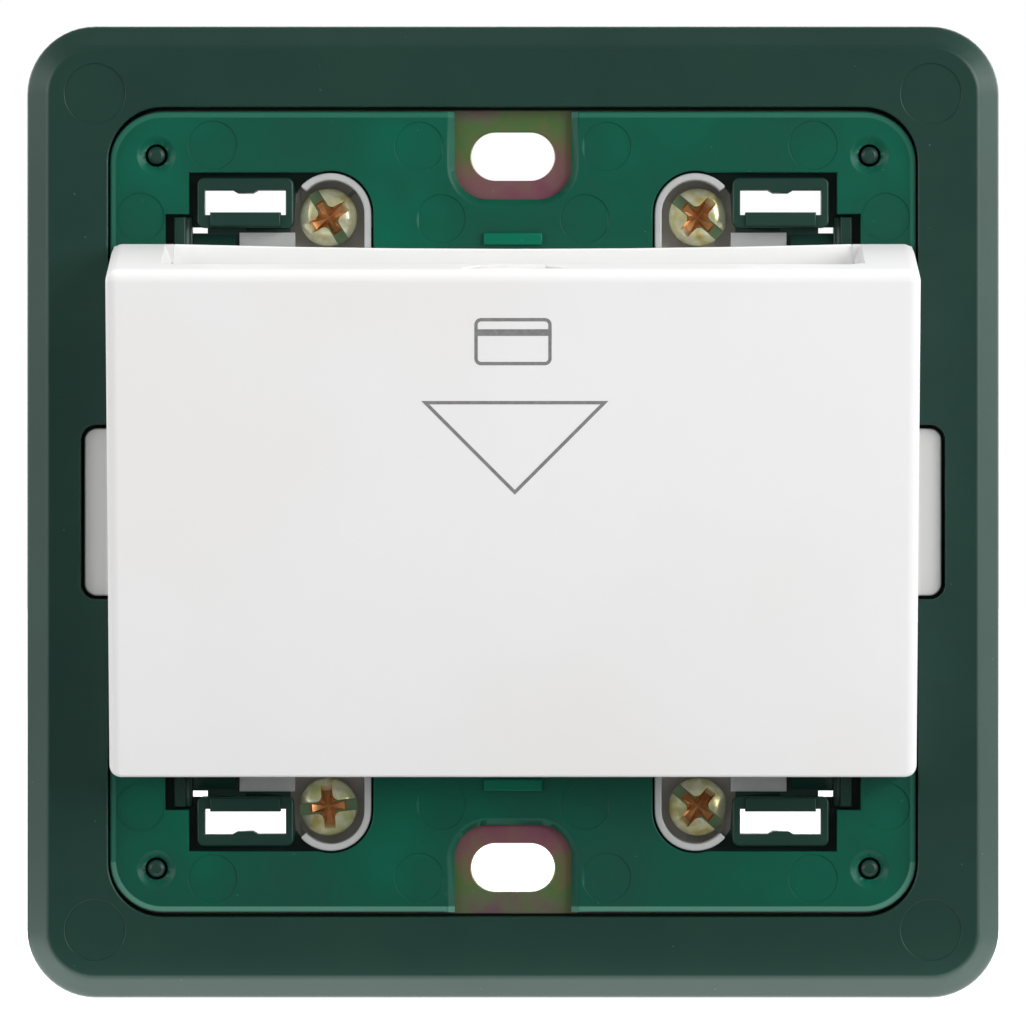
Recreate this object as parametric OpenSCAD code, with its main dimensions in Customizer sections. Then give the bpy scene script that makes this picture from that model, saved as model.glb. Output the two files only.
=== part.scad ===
// Flush-mounted key card switch: mounting frame, card pocket and two-pole mechanism.
// X runs to the right, Z up and the front faces -Y. The wall is the plane y = 0.
// Lengths along the view are given as a depth d in front of the wall, so y = -d.

/* [Frame] */
// Side of the square flange
frame_w = 82; // [72:0.5:92]
// Width of the flange round the opening
flange_w = 6.9; // [5.5:0.1:9]
// Corner radius of the flange
frame_r = 5.8; // [3:0.1:10]
// Width and height of the flange's chamfer
frame_chamfer = 1.8; // [0.5:0.1:2.4]
// Thickness of the floor that lies on the wall
frame_floor = 0.8; // [0.6:0.1:2]
// How far the flange stands proud of the insulating cover
flange_lip = 0.6; // [0.2:0.1:1.5]
// Corner radius of the opening
opening_r = 4.6; // [2:0.1:8]
// Radius of the ejector marks on the flange
flange_mark_r = 2.55; // [1.5:0.05:3]
// Distance of the flange's ejector marks from its edges
flange_mark_edge = 5.8; // [5:0.1:8]

/* [Steel bridge and insulating cover] */
// Thickness of the steel bridge
bridge_t = 1.2; // [0.8:0.1:2]
// Thickness of the insulating cover
cover_t = 1; // [0.8:0.1:2]
// Gap between the cover and the flange
cover_gap = 0.14; // [0.1:0.01:0.4]
// Distance of the box screws from the opening's edges
box_edge = 4.1; // [3:0.1:5]
// Length of a box-screw slot
slot_l = 7.05; // [5:0.05:9]
// Width of a box-screw slot
slot_w = 4.1; // [3:0.1:5]
// Width of the cover's cut-out round a slot
slot_window_w = 9.84; // [9:0.02:12]
// How far that cut-out reaches inwards from the slot's middle
slot_window_reach = 3.64; // [3:0.02:4.4]
// Bevel along that cut-out
slot_window_bevel = 0.6; // [0.2:0.05:1]
// Distance of a stake pin from the opening's sides
stake_edge = 4.05; // [3:0.05:5]
// Diameter of a stake pin
stake_d = 1.45; // [1:0.05:1.8]
// Gap round a stake pin
stake_gap = 0.225; // [0.05:0.005:0.4]
// Width of the dish round a stake pin's hole
stake_dish = 0.675; // [0.3:0.005:1]
// Radius of the cover's ejector marks
cover_mark_r = 2.05; // [1:0.05:2.2]

/* [Plate clips] */
// Gap between a terminal screw's head and the clip collar
clip_gap = 0.445; // [0.3:0.005:1]
// Gap between the housing and the clip collar
clip_over = 0.4; // [0.2:0.05:1]
// Width of a clip collar
clip_w = 8.15; // [7.6:0.05:9]
// Height of a clip collar
clip_h = 4.2; // [3.6:0.05:5]
// Width of the window in a collar
clip_window_w = 6.83; // [5:0.01:7]
// Height of the window in a collar
clip_window_h = 2.12; // [1.5:0.01:2.6]

/* [Terminals] */
// Distance of the terminal screws from the housing's sides
terminal_inset = 7.5; // [6.8:0.1:8.5]
// Height of the terminal screws over the housing's upper edge
terminal_rise = 1.3; // [1:0.1:2]
// Diameter of a terminal screw's head
head_d = 4.9; // [4:0.1:5.6]
// Height of a terminal screw's head
head_h = 1.9; // [1.4:0.1:2.4]
// Diameter of a terminal screw's thread
thread_d = 3.5; // [2.5:0.1:4]
// Gap between a terminal screw's head and its rim
rim_gap = 0.38; // [0.3:0.01:0.6]
// Wall of that rim
rim_wall = 0.6; // [0.4:0.05:0.8]
// Travel of a clamp cage from open to closed
cage_travel = 2.4; // [1.5:0.1:3]
// Room for wires in an open clamp cage, along the screw
wire_space = 4.4; // [3.5:0.1:5]
// Room for wires in a clamp cage, across the screw
wire_w = 4.2; // [3.8:0.1:4.6]

/* [Card pocket] */
// Gap between the pocket and the flange's opening
pocket_gap = 0.35; // [0.2:0.05:1]
// How far the pocket reaches over the housing, above and below
pocket_over = 1.2; // [0.6:0.1:3]
// Depth of the pocket's upper front edge
pocket_top_d = 17.2; // [15.5:0.1:22]
// Depth of the pocket's lower front edge
pocket_low_d = 9.3; // [8.4:0.1:12]
// Drop of the top face from back to front
pocket_top_drop = 2.6; // [1:0.1:4]
// Front wall of the pocket
pocket_wall = 2.2; // [1.4:0.1:2.6]
// Width of the cheeks beside the card slot
cheek_w = 5.1; // [4:0.1:7]
// Depth of the card slot's mouth
mouth_d = 8.5; // [6:0.1:9.5]
// Gap that holds the card at the pocket's bottom
throat = 1.1; // [0.9:0.05:1.5]
// Thickness of the pocket's back plate
base_t = 2.5; // [2:0.1:3]
// How far a side tab reaches past the opening
tab_out = 2; // [1:0.1:3]
// Height of a side tab
tab_h = 14.1; // [8:0.1:20]
// Corner radius of a side tab
tab_r = 1; // [0.3:0.1:2]
// Gap round a side tab
tab_gap = 0.3; // [0.15:0.05:0.6]

/* [Mechanism housing] */
// Width of the plates beside the housing
housing_side = 11; // [9:0.1:13]
// Height of the plates above and below the housing
housing_end = 10.5; // [8.5:0.1:12]
// Depth of the housing behind the wall
housing_depth = 18; // [16:0.5:24]
// Wall of the housing
housing_wall = 1.2; // [0.8:0.1:1.6]
// Thickness of the rear cover
rear_cover_t = 2; // [1.6:0.1:3]

/* [Card lever and contacts] */
// Diameter of the lever's pivot pin
pin_d = 2; // [1.5:0.1:2.6]
// Height of the lever's pivot pin over the middle
pivot_z = 3; // [1.5:0.5:4.5]
// Height of the pivot pin above the lever's nose
lever_arm = 16; // [14.5:0.5:17.5]
// How far the nose stands into the card's way
nose_out = 1.9; // [1.2:0.1:2.2]
// Diameter of the lever spring's wire
spring_wire = 0.5; // [0.3:0.05:0.6]
// Outer diameter of the lever spring
spring_d = 4.6; // [4:0.1:5.5]
// Turns of the lever spring
spring_turns = 6; // [4:1:7]
// Thickness of the contact strips
strip_t = 0.8; // [0.5:0.05:1.2]
// Thickness of the contact blades
blade_t = 0.5; // [0.3:0.05:0.8]
// Gap between the open contacts
contact_gap = 3; // [3:0.1:4]
// Diameter of the silver contact tips
tip_d = 3; // [2:0.1:4]

/* [Hidden] */
$fn = 48;

// Colours
dark_green = "#2a4239";
light_green = "#1c5a48";
passivated = "#8a7048";
steel_tint = "#6b5a50";
light_grey = "#c6c9c6";
white = "#ebebea";
brass = "#b99a4d";
silver = "#c9ccd0";
bronze = "#a9713d";
steel = "#8f9498";

// Clearances
over = 1; // how far a cut runs past the face it opens
bite = 0.2; // how far joined shapes of one piece reach into each other
fit = 0.02; // radial gap of a fixed pin or screw
running = 0.06; // radial gap of a turning pin
screw_gap = 0.2; // radial gap of a screw that passes through
part_gap = 0.17; // gap between the housing and the plates round it
slide_gap = 0.15; // gap beside a sliding or clipped piece
plate_gap = 0.25; // the steel bridge keeps this much further away than the cover
face_gap = 0.1; // gap between faces that nearly meet

// Depth levels of the plates
bridge_front = frame_floor + bridge_t;
cover_front = bridge_front + cover_t;
flange_front = cover_front + flange_lip;
floor_back = 0.2; // the floor lies this far in front of the wall, inside the rim that touches it
base_back = cover_front;
base_front = base_back + base_t;
shell_gap = 0.2;
shell_back = cover_front + shell_gap;
clip_sink = 0.4;
clip_front = cover_front - clip_sink;
tab_sink = 0.2;
tab_front = cover_front - tab_sink;
tab_step = 0.2;
tab_seat = frame_floor + tab_step;
tab_back = tab_seat + tab_step;
mark_depth = 0.08; // ejector marks are this deep

// The two sides and the four corners, with the turn of each terminal screw's slot
sides = [["left", -1], ["right", 1]];
corners = [
    ["top_left", -1, 1, -58],
    ["top_right", 1, 1, -40],
    ["bottom_left", -1, -1, 6],
    ["bottom_right", 1, -1, -40]
];

// Frame layout
opening_w = frame_w - 2 * flange_w;
box_pitch = opening_w - 2 * box_edge;
flange_mark_at = frame_w / 2 - flange_mark_edge;
stake_at = opening_w / 2 - stake_edge;
stake_hole_d = stake_d + 2 * stake_gap;
stake_dish_d = stake_hole_d + 2 * stake_dish;
dish_depth = 0.5;
slot_air = 0.6; // the frame stays this far from a box-screw slot
rim_edge = 1; // the rim that touches the wall reaches this far inside the opening

// Terminal layout, given for the upper right corner
housing_w = opening_w - 2 * housing_side;
housing_h = opening_w - 2 * housing_end;
waist_step = 2.3; // the housing is lower by this between the terminals, in front of the wall
waist_z = housing_h / 2 - waist_step;
terminal_x = housing_w / 2 - terminal_inset;
terminal_z = housing_h / 2 + terminal_rise;
rim_r = head_d / 2 + rim_gap + rim_wall;
rim_x = terminal_x - 0.63 * rim_gap;
rim_z = terminal_z + 0.66 * rim_gap;
tower_in = rim_x - rim_r; // inner face of a terminal tower
tower_top = rim_z + rim_r;
tower_wall = 0.6;
cage_wall = 0.6;
cage_w = wire_w + 2 * cage_wall;
cage_l = 6;
cage_cavity_w = cage_w + 2 * slide_gap;
tower_out = terminal_x + cage_cavity_w / 2 + tower_wall;
cage_drop = 0.3;
cage_z = terminal_z - cage_drop; // middle of the cage
screw_seat = -0.4; // depth of the face under the screw's head
seat_t = 1;
cage_front = screw_seat - seat_t - face_gap - cage_travel;
cage_bridge_t = 1.6; // wall that takes the thread
strip_gap = 0.3;
strip_front = cage_front - cage_bridge_t - strip_gap;
strip_back = strip_front - strip_t;
cage_foot_t = 1.2;
cage_back = strip_back - wire_space - cage_foot_t;
screw_groove = 0.8;
screw_slot_deep = 1;
screw_cross_l = 3;
screw_cross_deep = 1.3;
screw_bevel = 0.4;
screw_tip = 0.5; // length of the tapered end

// Clip layout
clip_x = terminal_x + head_d / 2 + clip_gap + clip_w / 2;
clip_z = housing_h / 2 + clip_over + clip_h / 2;
clip_in = clip_x - clip_w / 2;
clip_out = clip_x + clip_w / 2;
clip_low = clip_z - clip_h / 2;
clip_top = clip_z + clip_h / 2;
clip_r = 0.6;
clip_cut_gap = 0.65; // room beside a collar
clip_cut_top = 0.4; // room above a collar
clip_step = 2; // the cut-out is this much wider below the collar
clip_step_drop = 1;
clip_step_top = clip_z - clip_step_drop;

// Pocket layout
pocket_w = opening_w - 2 * pocket_gap;
mouth_w = pocket_w - 2 * cheek_w;
tab_reach = opening_w / 2 + tab_out;
pocket_top = waist_z + pocket_over;
pocket_low = -pocket_top;
front_top = pocket_top - pocket_top_drop; // height of the upper front edge
top_back_d = base_front - face_gap; // depth of the upper back edge
front_slope = (pocket_top_d - pocket_low_d) / (front_top - pocket_low);
wall_d = pocket_wall * sqrt(1 + front_slope * front_slope); // front wall measured along d
top_angle = atan2(pocket_top_drop, pocket_top_d - top_back_d);
function outer_d(z) = pocket_low_d + (z - pocket_low) * front_slope;
function inner_d(z) = outer_d(z) - wall_d;
side_wall = 1.6;
floor_wall = 1.8;
roof_wall = 1.5;
cheek_wall = 1.2;
pocket_floor = pocket_low + floor_wall; // the card stops here
roof_low = pocket_top - roof_wall;
lip_d = base_front + mouth_d; // back face of the front lip
lip_h = 2;
lip_low = front_top - lip_h;
throat_d = base_front + throat;
throat_rise = 13.5;
throat_z = pocket_low + throat_rise;
base_half = pocket_w / 2 - side_wall - slide_gap;
base_sag = 0.4; // the plate's top edge dips this much in the middle
tab_root = 2; // a tab starts this far inside the plate's edge
hook_z = 12;
hook_l = 8;
hook_in = 0.5; // a hook reaches this far over the plate
hook_t = 0.7;
guide_pitch = 12; // distance between the ribs that guide the card
guide_t = 1.2;

// Screws of the pocket and of the rear cover
base_screw_d = 2;
base_screw_l = 8;
base_head_d = 4;
base_head_h = 1.1;
base_cross = 2;
rear_screw_d = 2.2;
rear_screw_l = 7; // length in the housing
rear_head_d = 3.8;
rear_head_h = 1.2;
rear_cross = 2.2;
cross_w = 0.55;
cross_deep = 0.7;
hole_end = 1; // a blind hole runs this much past its screw

// Housing layout
plate_t = 1.2;
housing_front = cover_front - face_gap;
plate_back = housing_front - plate_t;
housing_back = -housing_depth;
housing_r = 2;
tower_r = 1.2;
tower_root = 2; // the towers start this far below that height
block_rise = 0.2;
block_front = frame_floor + block_rise; // front of the blocks beside the terminals
rim_sink = 0.2;
rim_front = cover_front - rim_sink;
shoulder = 2.4; // ledges that hold the housing behind the frame
shoulder_t = 1.4;
shoulder_end = 5;
boss_inset = 2.5;
boss_x = housing_w / 2 - boss_inset;
boss_edge = 5.3;
boss_z = waist_z - boss_edge;
boss_r = 2.1;
boss_floor = 0.5;
chamber_r = rim_r - rim_wall;
chamber_step = 0.4;
chamber_low = waist_z + chamber_step;
chamber_side = 0.35; // room beside the screw's head, towards the clip

// Lever layout
blade_w = 5;
hub_wall = 1.2;
hub_d = pin_d + 2 * hub_wall;
nose_z = pivot_z - lever_arm;
hub_gap = 0.7;
pivot_d = plate_back - hub_d / 2 - hub_gap;
nose_d = base_front + nose_out;
lug_gap = 1.5;
lug_out = terminal_x - blade_w / 2 - lug_gap;
lug_t = 2;
lug_in = lug_out - lug_t;
lug_root = 3; // half of a lug's height at the front plate
lug_tip = 1.6; // and at its back end
lug_over = 2.4; // how far a lug runs past the pin's axis
hub_play = 0.2;
hub_half = lug_in - hub_play;
nose_margin = 1.2;
nose_end = hub_half - nose_margin; // each nose reaches sideways to here
nose_w = 4.4;
nose_in = nose_end - nose_w;
nose_drop = 2.6;
nose_low = nose_z - nose_drop;
nose_edge = 0.3; // the nose narrows from this far behind the plate's front
web_ahead = 0.8;
web_front = pivot_d + web_ahead;
web_behind = 1.2;
web_back = pivot_d - web_behind;
bar_drop = 10;
bar_z = pivot_z - bar_drop; // height of the bar that pushes the blades
bar_h = 2.4;
bar_behind = 0.8;
bar_ahead = 1;
bar_end = 1.8; // the bar runs this far past the terminals
finger_r = 0.8;
finger_w = 3;
finger_gap = 0.15;
nose_room_up = 4.7;
nose_room_down = 4.4;
nose_window_top = nose_z + nose_room_up;
nose_window_low = nose_z - nose_room_down;
nose_window_gap = 0.4;
plate_window_gap = 0.6;

// Contact layout
strip_play = 0.2;
strip_w = wire_w - strip_play;
post_play = 0.4;
post_w = strip_w - post_play;
blade_d = strip_front - strip_t / 2; // middle of the blade
rib_gap = 2;
rib_in = cage_z - cage_l / 2 - rib_gap; // ribs that carry the strips
rib_l = 1.4;
root_gap = 1.2;
blade_z = root_gap - rib_in; // height of the blade's root
riser_gap = 0.4;
riser_z = rib_in - riser_gap;
tip_drop = 7.2;
tip_z = riser_z - tip_drop;
tip_t = 0.9;
tip_dome_r = 4;
tip_edge = 0.6; // the strip runs this far past its tip
blade_edge = 0.5;
arm_tip_face = blade_d - blade_t / 2 - tip_t;
fixed_face = arm_tip_face - contact_gap;
fixed_strip_front = fixed_face - tip_t;
fixed_strip_back = fixed_strip_front - strip_t;
strip_short = 0.2;
strip_end = cage_z + cage_l / 2 - strip_short;

// Lever spring layout
tail_t = 2.4;
tail_half = 3;
tail_top = pivot_z + tail_t / 2;
spring_behind = 8.3;
spring_at = pivot_d - spring_behind; // depth of the spring's axis
spring_l = 9;
shelf_z = tail_top + spring_l;
shelf_t = 1.6;
shelf_side = 1;
shelf_lip = 0.8;
spigot_play = 0.6;
spigot_d = spring_d - 2 * spring_wire - 2 * spigot_play;
spigot_l = 1.2;
rings = 8; // points on each turn of the spring
ring_sides = 6;
spring_r = (spring_d - spring_wire) / 2;
spring_rise = (spring_l - spring_wire) / spring_turns;
function ray(i) = [cos(360 * i / rings), sin(360 * i / rings), 0];
wire_points = [for (i = [0:rings * spring_turns]) spring_r * ray(i) + [0, 0, spring_rise * i / rings]];
echo(spring_gap = min([for (i = [0:len(wire_points) - rings - 1])
    norm(wire_points[i + rings] - wire_points[i])]) - spring_wire);

// A flat outline of the front view, made solid between two depths
module plate(d0, d1) {
    rotate([90, 0, 0]) translate([0, 0, d0]) linear_extrude(d1 - d0) children();
}

// A side profile of (depth, height) points, swept from x0 to x1
module swept(x0, x1) {
    translate([x0, 0, 0]) mirror([0, 1, 0]) rotate([90, 0, 90]) linear_extrude(x1 - x0) children();
}

// A round post or hole along the view, from diameter at d0 to diameter at d1
module post(x, z, d0, d1, dia, dia_front) {
    translate([x, -d0, z]) rotate([90, 0, 0])
        cylinder(h = d1 - d0, d1 = dia, d2 = is_undef(dia_front) ? dia : dia_front);
}

// A rod along X
module rod(x0, x1, d, z, dia) {
    translate([x0, -d, z]) rotate([0, 90, 0]) cylinder(h = x1 - x0, d = dia);
}

// An outline between two corners
module span(x0, x1, z0, z1) {
    translate([x0, z0]) square([x1 - x0, z1 - z0]);
}

module rounded(w, h, r) {
    square([w - 2 * r, h], center = true);
    square([w, h - 2 * r], center = true);
    for (sx = [-1, 1], sz = [-1, 1]) translate([sx * (w / 2 - r), sz * (h / 2 - r)]) circle(r);
}

module obround(l, w) {
    square([l - w, w], center = true);
    for (sx = [-1, 1]) translate([sx * (l - w) / 2, 0]) circle(w / 2);
}

// A cross recess in a screw's head
module cross(x, z, l, w, turn) {
    translate([x, z]) rotate(turn) {
        square([l, w], center = true);
        square([w, l], center = true);
    }
}

// Copies of an outline of the upper right corner in all four corners
module four() {
    for (sx = [0, 1], sz = [0, 1]) mirror([sx, 0]) mirror([0, sz]) children();
}

// Copies of a solid of the upper right corner in all four corners
module four_solids() {
    for (sx = [0, 1], sz = [0, 1]) mirror([sx, 0, 0]) mirror([0, 0, sz]) children();
}

// Copies of a solid of the right half on both sides
module both() {
    for (sx = [0, 1]) mirror([sx, 0, 0]) children();
}

// A solid of the upper right corner, moved to one corner or side
module at_corner(c) {
    mirror([c[1] < 0 ? 1 : 0, 0, 0]) mirror([0, 0, c[2] < 0 ? 1 : 0]) children();
}

module at_side(s) {
    mirror([s[1] < 0 ? 1 : 0, 0, 0]) children();
}

// A square plate with round corners and a chamfered front edge
module chamfered_plate(w, r, c, d0, d1) {
    h = w / 2;
    for (turn = [0, 90]) rotate([0, turn, 0]) swept(r - h, h - r)
        polygon([[d0, -h], [d0, h], [d1 - c, h], [d1, h - c], [d1, c - h], [d1 - c, -h]]);
    for (turn = [0:90:270]) rotate([0, turn, 0]) translate([h - r, 0, h - r]) rotate([90, 0, 0])
        rotate_extrude(angle = 90) polygon([[0, d0], [r, d0], [r, d1 - c], [r - c, d1], [0, d1]]);
}

// Outline of a terminal rim's outside, larger by a gap
module rim_outline(gap) {
    translate([rim_x, rim_z]) circle(rim_r + gap);
    span(tower_in - gap, rim_x + rim_r + gap, waist_z - tower_root, rim_z);
}

// Outline of the mechanism where it passes through the plates
module mechanism_outline(gap) {
    square([housing_w + 2 * gap, 2 * (waist_z + gap)], center = true);
    four() {
        span(tower_in - gap, housing_w / 2 + gap, waist_z - tower_root, housing_h / 2 + gap);
        rim_outline(gap);
    }
}

// Outline of the plates' cut-out round a clip collar and its terminal
module corner_cut(gap) {
    side = clip_out + clip_cut_gap + gap;
    span(terminal_x, side, waist_z - tower_root, clip_top + clip_cut_top + gap);
    span(terminal_x, side + clip_step, waist_z - tower_root, clip_step_top + gap);
    rim_outline(part_gap + gap);
}

// Outline of the pocket's side tabs in their cut-outs
module tab_outline(gap) {
    rounded(2 * (tab_reach + gap), tab_h + 2 * gap, tab_r + gap);
}

// A window in a clip collar, with the small stop in its upper edge
module clip_window() {
    stop = 2.15 / 2;
    stop_tip = 1.27 / 2;
    stop_h = 0.25;
    difference() {
        translate([clip_x, clip_z]) square([clip_window_w, clip_window_h], center = true);
        translate([clip_x, clip_z + clip_window_h / 2]) polygon([[-stop, over], [-stop, 0],
            [-stop_tip, -stop_h], [stop_tip, -stop_h], [stop, 0], [stop, over]]);
    }
}

// A clip collar with its latch tongue and the guide bar beside it
module clip_collar() {
    tongue = 5.93 / 2;
    tongue_h = 1.26;
    tongue_edge = 0.1;
    tongue_rise = 0.25;
    bar_w = 1;
    bar_foot = 0.55;
    bar_side = clip_out + clip_cut_gap + clip_step - 0.7;
    bar_top = clip_step_top - 0.2;
    bar_low = waist_z - 1;
    bar_front = clip_front - 0.2;
    foot_front = clip_front - 0.8;
    ramp_front = clip_front - 0.7;
    ramp_l = 1.4;
    ramp_top = bar_top - 1.5;
    ramp_in = housing_w / 2 + 0.4;
    ramp_floor = frame_floor + 0.2;
    difference() {
        plate(floor_back, clip_front) translate([clip_x, clip_z]) rounded(clip_w, clip_h, clip_r);
        plate(-over, clip_front + over) clip_window();
    }
    plate(floor_back, clip_front + tongue_rise)
        span(clip_x - tongue, clip_x + tongue, clip_low + tongue_edge, clip_low + tongue_h);
    plate(floor_back, bar_front) span(bar_side - bar_w, bar_side, bar_low, bar_top);
    plate(floor_back, foot_front) span(bar_side - bar_w - bar_foot, bar_side, bar_low, bar_top);
    swept(ramp_in, bar_side - bar_w - bar_foot - face_gap / 2) polygon([[floor_back, bar_low],
        [ramp_front, bar_low], [ramp_front, bar_low + ramp_l], [ramp_floor, ramp_top],
        [floor_back, ramp_top]]);
}

module mounting_frame() color(dark_green) {
    recess_w = opening_w - 2 * rim_edge;
    notch_w = 1.25;
    notch_h = 0.5;
    notch_side = clip_out + 0.4;
    notch_top = clip_low + 0.05;
    pin_taper = 0.25;
    pin_front = cover_front - 0.05;
    pin_tip_d = 0.9;
    difference() {
        chamfered_plate(frame_w, frame_r, frame_chamfer, 0, flange_front);
        plate(frame_floor, flange_front + over) rounded(opening_w, opening_w, opening_r);
        plate(-over, floor_back) rounded(recess_w, recess_w, opening_r - rim_edge);
        plate(tab_seat, flange_front + over) tab_outline(tab_gap);
        plate(-over, frame_floor + over) mechanism_outline(part_gap);
        plate(-over, frame_floor + over) four() {
            clip_window();
            span(notch_side - notch_w, notch_side, notch_top - notch_h, notch_top);
        }
        plate(-over, frame_floor + over) for (sz = [-1, 1]) translate([0, sz * box_pitch / 2])
            obround(slot_l + 2 * slot_air, slot_w + 2 * slot_air);
        four_solids() post(flange_mark_at, flange_mark_at, flange_front - mark_depth, flange_front + over,
            2 * flange_mark_r);
    }
    four_solids() {
        clip_collar();
        post(stake_at, stake_at, floor_back + bite, pin_front - pin_taper, stake_d);
        post(stake_at, stake_at, pin_front - pin_taper, pin_front, stake_d, pin_tip_d);
    }
}

// The square outline that bridge and cover share, with the mechanism and the tabs cut out
module plate_outline(edge, gap) {
    tab_cut_in = base_half - tab_root - tab_gap;
    difference() {
        rounded(opening_w - 2 * edge, opening_w - 2 * edge, opening_r - edge);
        mechanism_outline(part_gap + gap);
        four() {
            corner_cut(gap);
            span(tab_cut_in, opening_w / 2 + over, -tab_h / 2 - tab_gap, tab_h / 2 + tab_gap);
        }
    }
}

module steel_bridge() color(steel_tint) {
    bridge_edge = 0.06; // the bridge stays this much further inside than the cover
    difference() {
        plate(frame_floor, bridge_front) plate_outline(cover_gap + bridge_edge, plate_gap);
        for (sz = [-1, 1]) plate(frame_floor - over, bridge_front + over) translate([0, sz * box_pitch / 2])
            obround(slot_l, slot_w);
        four_solids() post(stake_at, stake_at, frame_floor - over, bridge_front + over, stake_hole_d);
    }
}

// The cut-out of the cover round a box-screw slot, larger by a bevel
module slot_window(bevel) {
    half = slot_window_w / 2 + bevel;
    r = 2.8 + bevel;
    low = box_pitch / 2 - slot_window_reach - bevel;
    span(-half, half, low + r, opening_w / 2 + over);
    span(r - half, half - r, low, low + r + over);
    for (sx = [-1, 1]) translate([sx * (half - r), low + r]) circle(r);
}

module insulating_cover() color(light_green) {
    rib_half = 4.94 / 2;
    rib_h = 1;
    rib_rise = 0.35;
    rib_low = max(pocket_top, waist_z + part_gap + rib_h);
    bevel_d = 0.5;
    skin = 0.01;
    side = opening_w / 2;
    marks = [ // ejector marks of the upper right corner
        [stake_at - 4.75, side - 3.2],
        [slot_window_w / 2 + 2.98, side - 3.3],
        [slot_window_w / 2 + 1.13, side - 9.4],
        [side - 2.7, side - 9.25]
    ];
    difference() {
        plate(bridge_front, cover_front) plate_outline(cover_gap, 0);
        for (sz = [0, 1]) mirror([0, 0, sz]) {
            plate(bridge_front - over, cover_front + over) slot_window(0);
            hull() {
                plate(cover_front - bevel_d, cover_front - bevel_d + skin) slot_window(0, $fn = 32);
                plate(cover_front, cover_front + skin) slot_window(slot_window_bevel, $fn = 32);
            }
        }
        four_solids() {
            post(stake_at, stake_at, bridge_front - over, cover_front + over, stake_hole_d);
            post(stake_at, stake_at, cover_front - dish_depth, cover_front, stake_hole_d, stake_dish_d);
            for (m = marks) post(m[0], m[1], cover_front - mark_depth, cover_front + over, 2 * cover_mark_r);
        }
    }
    for (sz = [0, 1]) mirror([0, 0, sz]) plate(bridge_front + bite, cover_front + rib_rise)
        span(-rib_half, rib_half, rib_low, rib_low + rib_h);
}

// Shallow recess in the pocket's lip
module lip_recess() {
    wide = 9 / 2;
    narrow = 5.5 / 2;
    recess = 0.25;
    edge = 0.5; // the recess stays this far from the lip's edges
    back = pocket_top_d - lip_d - edge;
    translate([0, -pocket_top_d, front_top]) rotate([top_angle, 0, 0]) translate([0, 0, -recess])
        linear_extrude(over) polygon([[-wide, edge], [wide, edge], [narrow, back], [-narrow, back]]);
}

// Bevel at the end of the card slot, along the top face
module slot_lead_in() {
    lead = 0.6;
    lead_h = 1.35;
    translate([mouth_w / 2, -top_back_d, pocket_top]) rotate([top_angle, 0, 0])
        translate([0, top_back_d - lip_d, 0]) rotate([-90, 0, 0]) linear_extrude(lip_d - shell_back)
            polygon([[-over, -over], [lead + over * lead / lead_h, -over],
                [-over, lead_h + over * lead_h / lead]]);
}

module pocket_front() color(white) {
    half = pocket_w / 2;
    back = shell_back - over;
    seat = base_half + slide_gap;
    seat_front = base_front + face_gap;
    cavity_top = pocket_top + over;
    bend_z = lip_low - 1;
    cheek_top = front_top - roof_wall;
    guide_back = 1; // a guide rib starts this deep in the front wall
    difference() {
        swept(-half, half) polygon([[shell_back, pocket_low], [pocket_low_d, pocket_low],
            [pocket_top_d, front_top], [top_back_d, pocket_top], [shell_back, pocket_top]]);
        // room for the card, open at the top
        swept(-mouth_w / 2, mouth_w / 2) polygon([[back, pocket_floor],
            [inner_d(pocket_floor), pocket_floor], [inner_d(bend_z), bend_z],
            [lip_d, lip_low], [lip_d, cavity_top], [back, cavity_top]]);
        // hollow cheeks beside it
        both() {
            swept(mouth_w / 2 + cheek_wall, half - side_wall) polygon([[back, pocket_floor],
                [inner_d(pocket_floor), pocket_floor], [inner_d(cheek_top), cheek_top],
                [top_back_d, roof_low], [back, roof_low]]);
            slot_lead_in();
        }
        // seat of the back plate
        swept(-seat, seat) polygon([[back, pocket_floor], [seat_front, pocket_floor],
            [seat_front, roof_low], [back, roof_low]]);
        lip_recess();
    }
    // ribs that guide the card to the throat
    for (i = [-2:2]) swept(i * guide_pitch - guide_t / 2, i * guide_pitch + guide_t / 2)
        polygon([[lip_d + bite, lip_low], [throat_d, throat_z], [throat_d, pocket_floor - bite],
            [outer_d(pocket_floor) - guide_back, pocket_floor - bite],
            [outer_d(lip_low) - guide_back, lip_low]]);
    // hooks that snap behind the back plate
    four_solids() plate(shell_back + face_gap, shell_back + face_gap + hook_t)
        span(base_half - hook_in, half - side_wall + bite, hook_z - hook_l / 2, hook_z + hook_l / 2);
}

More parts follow.
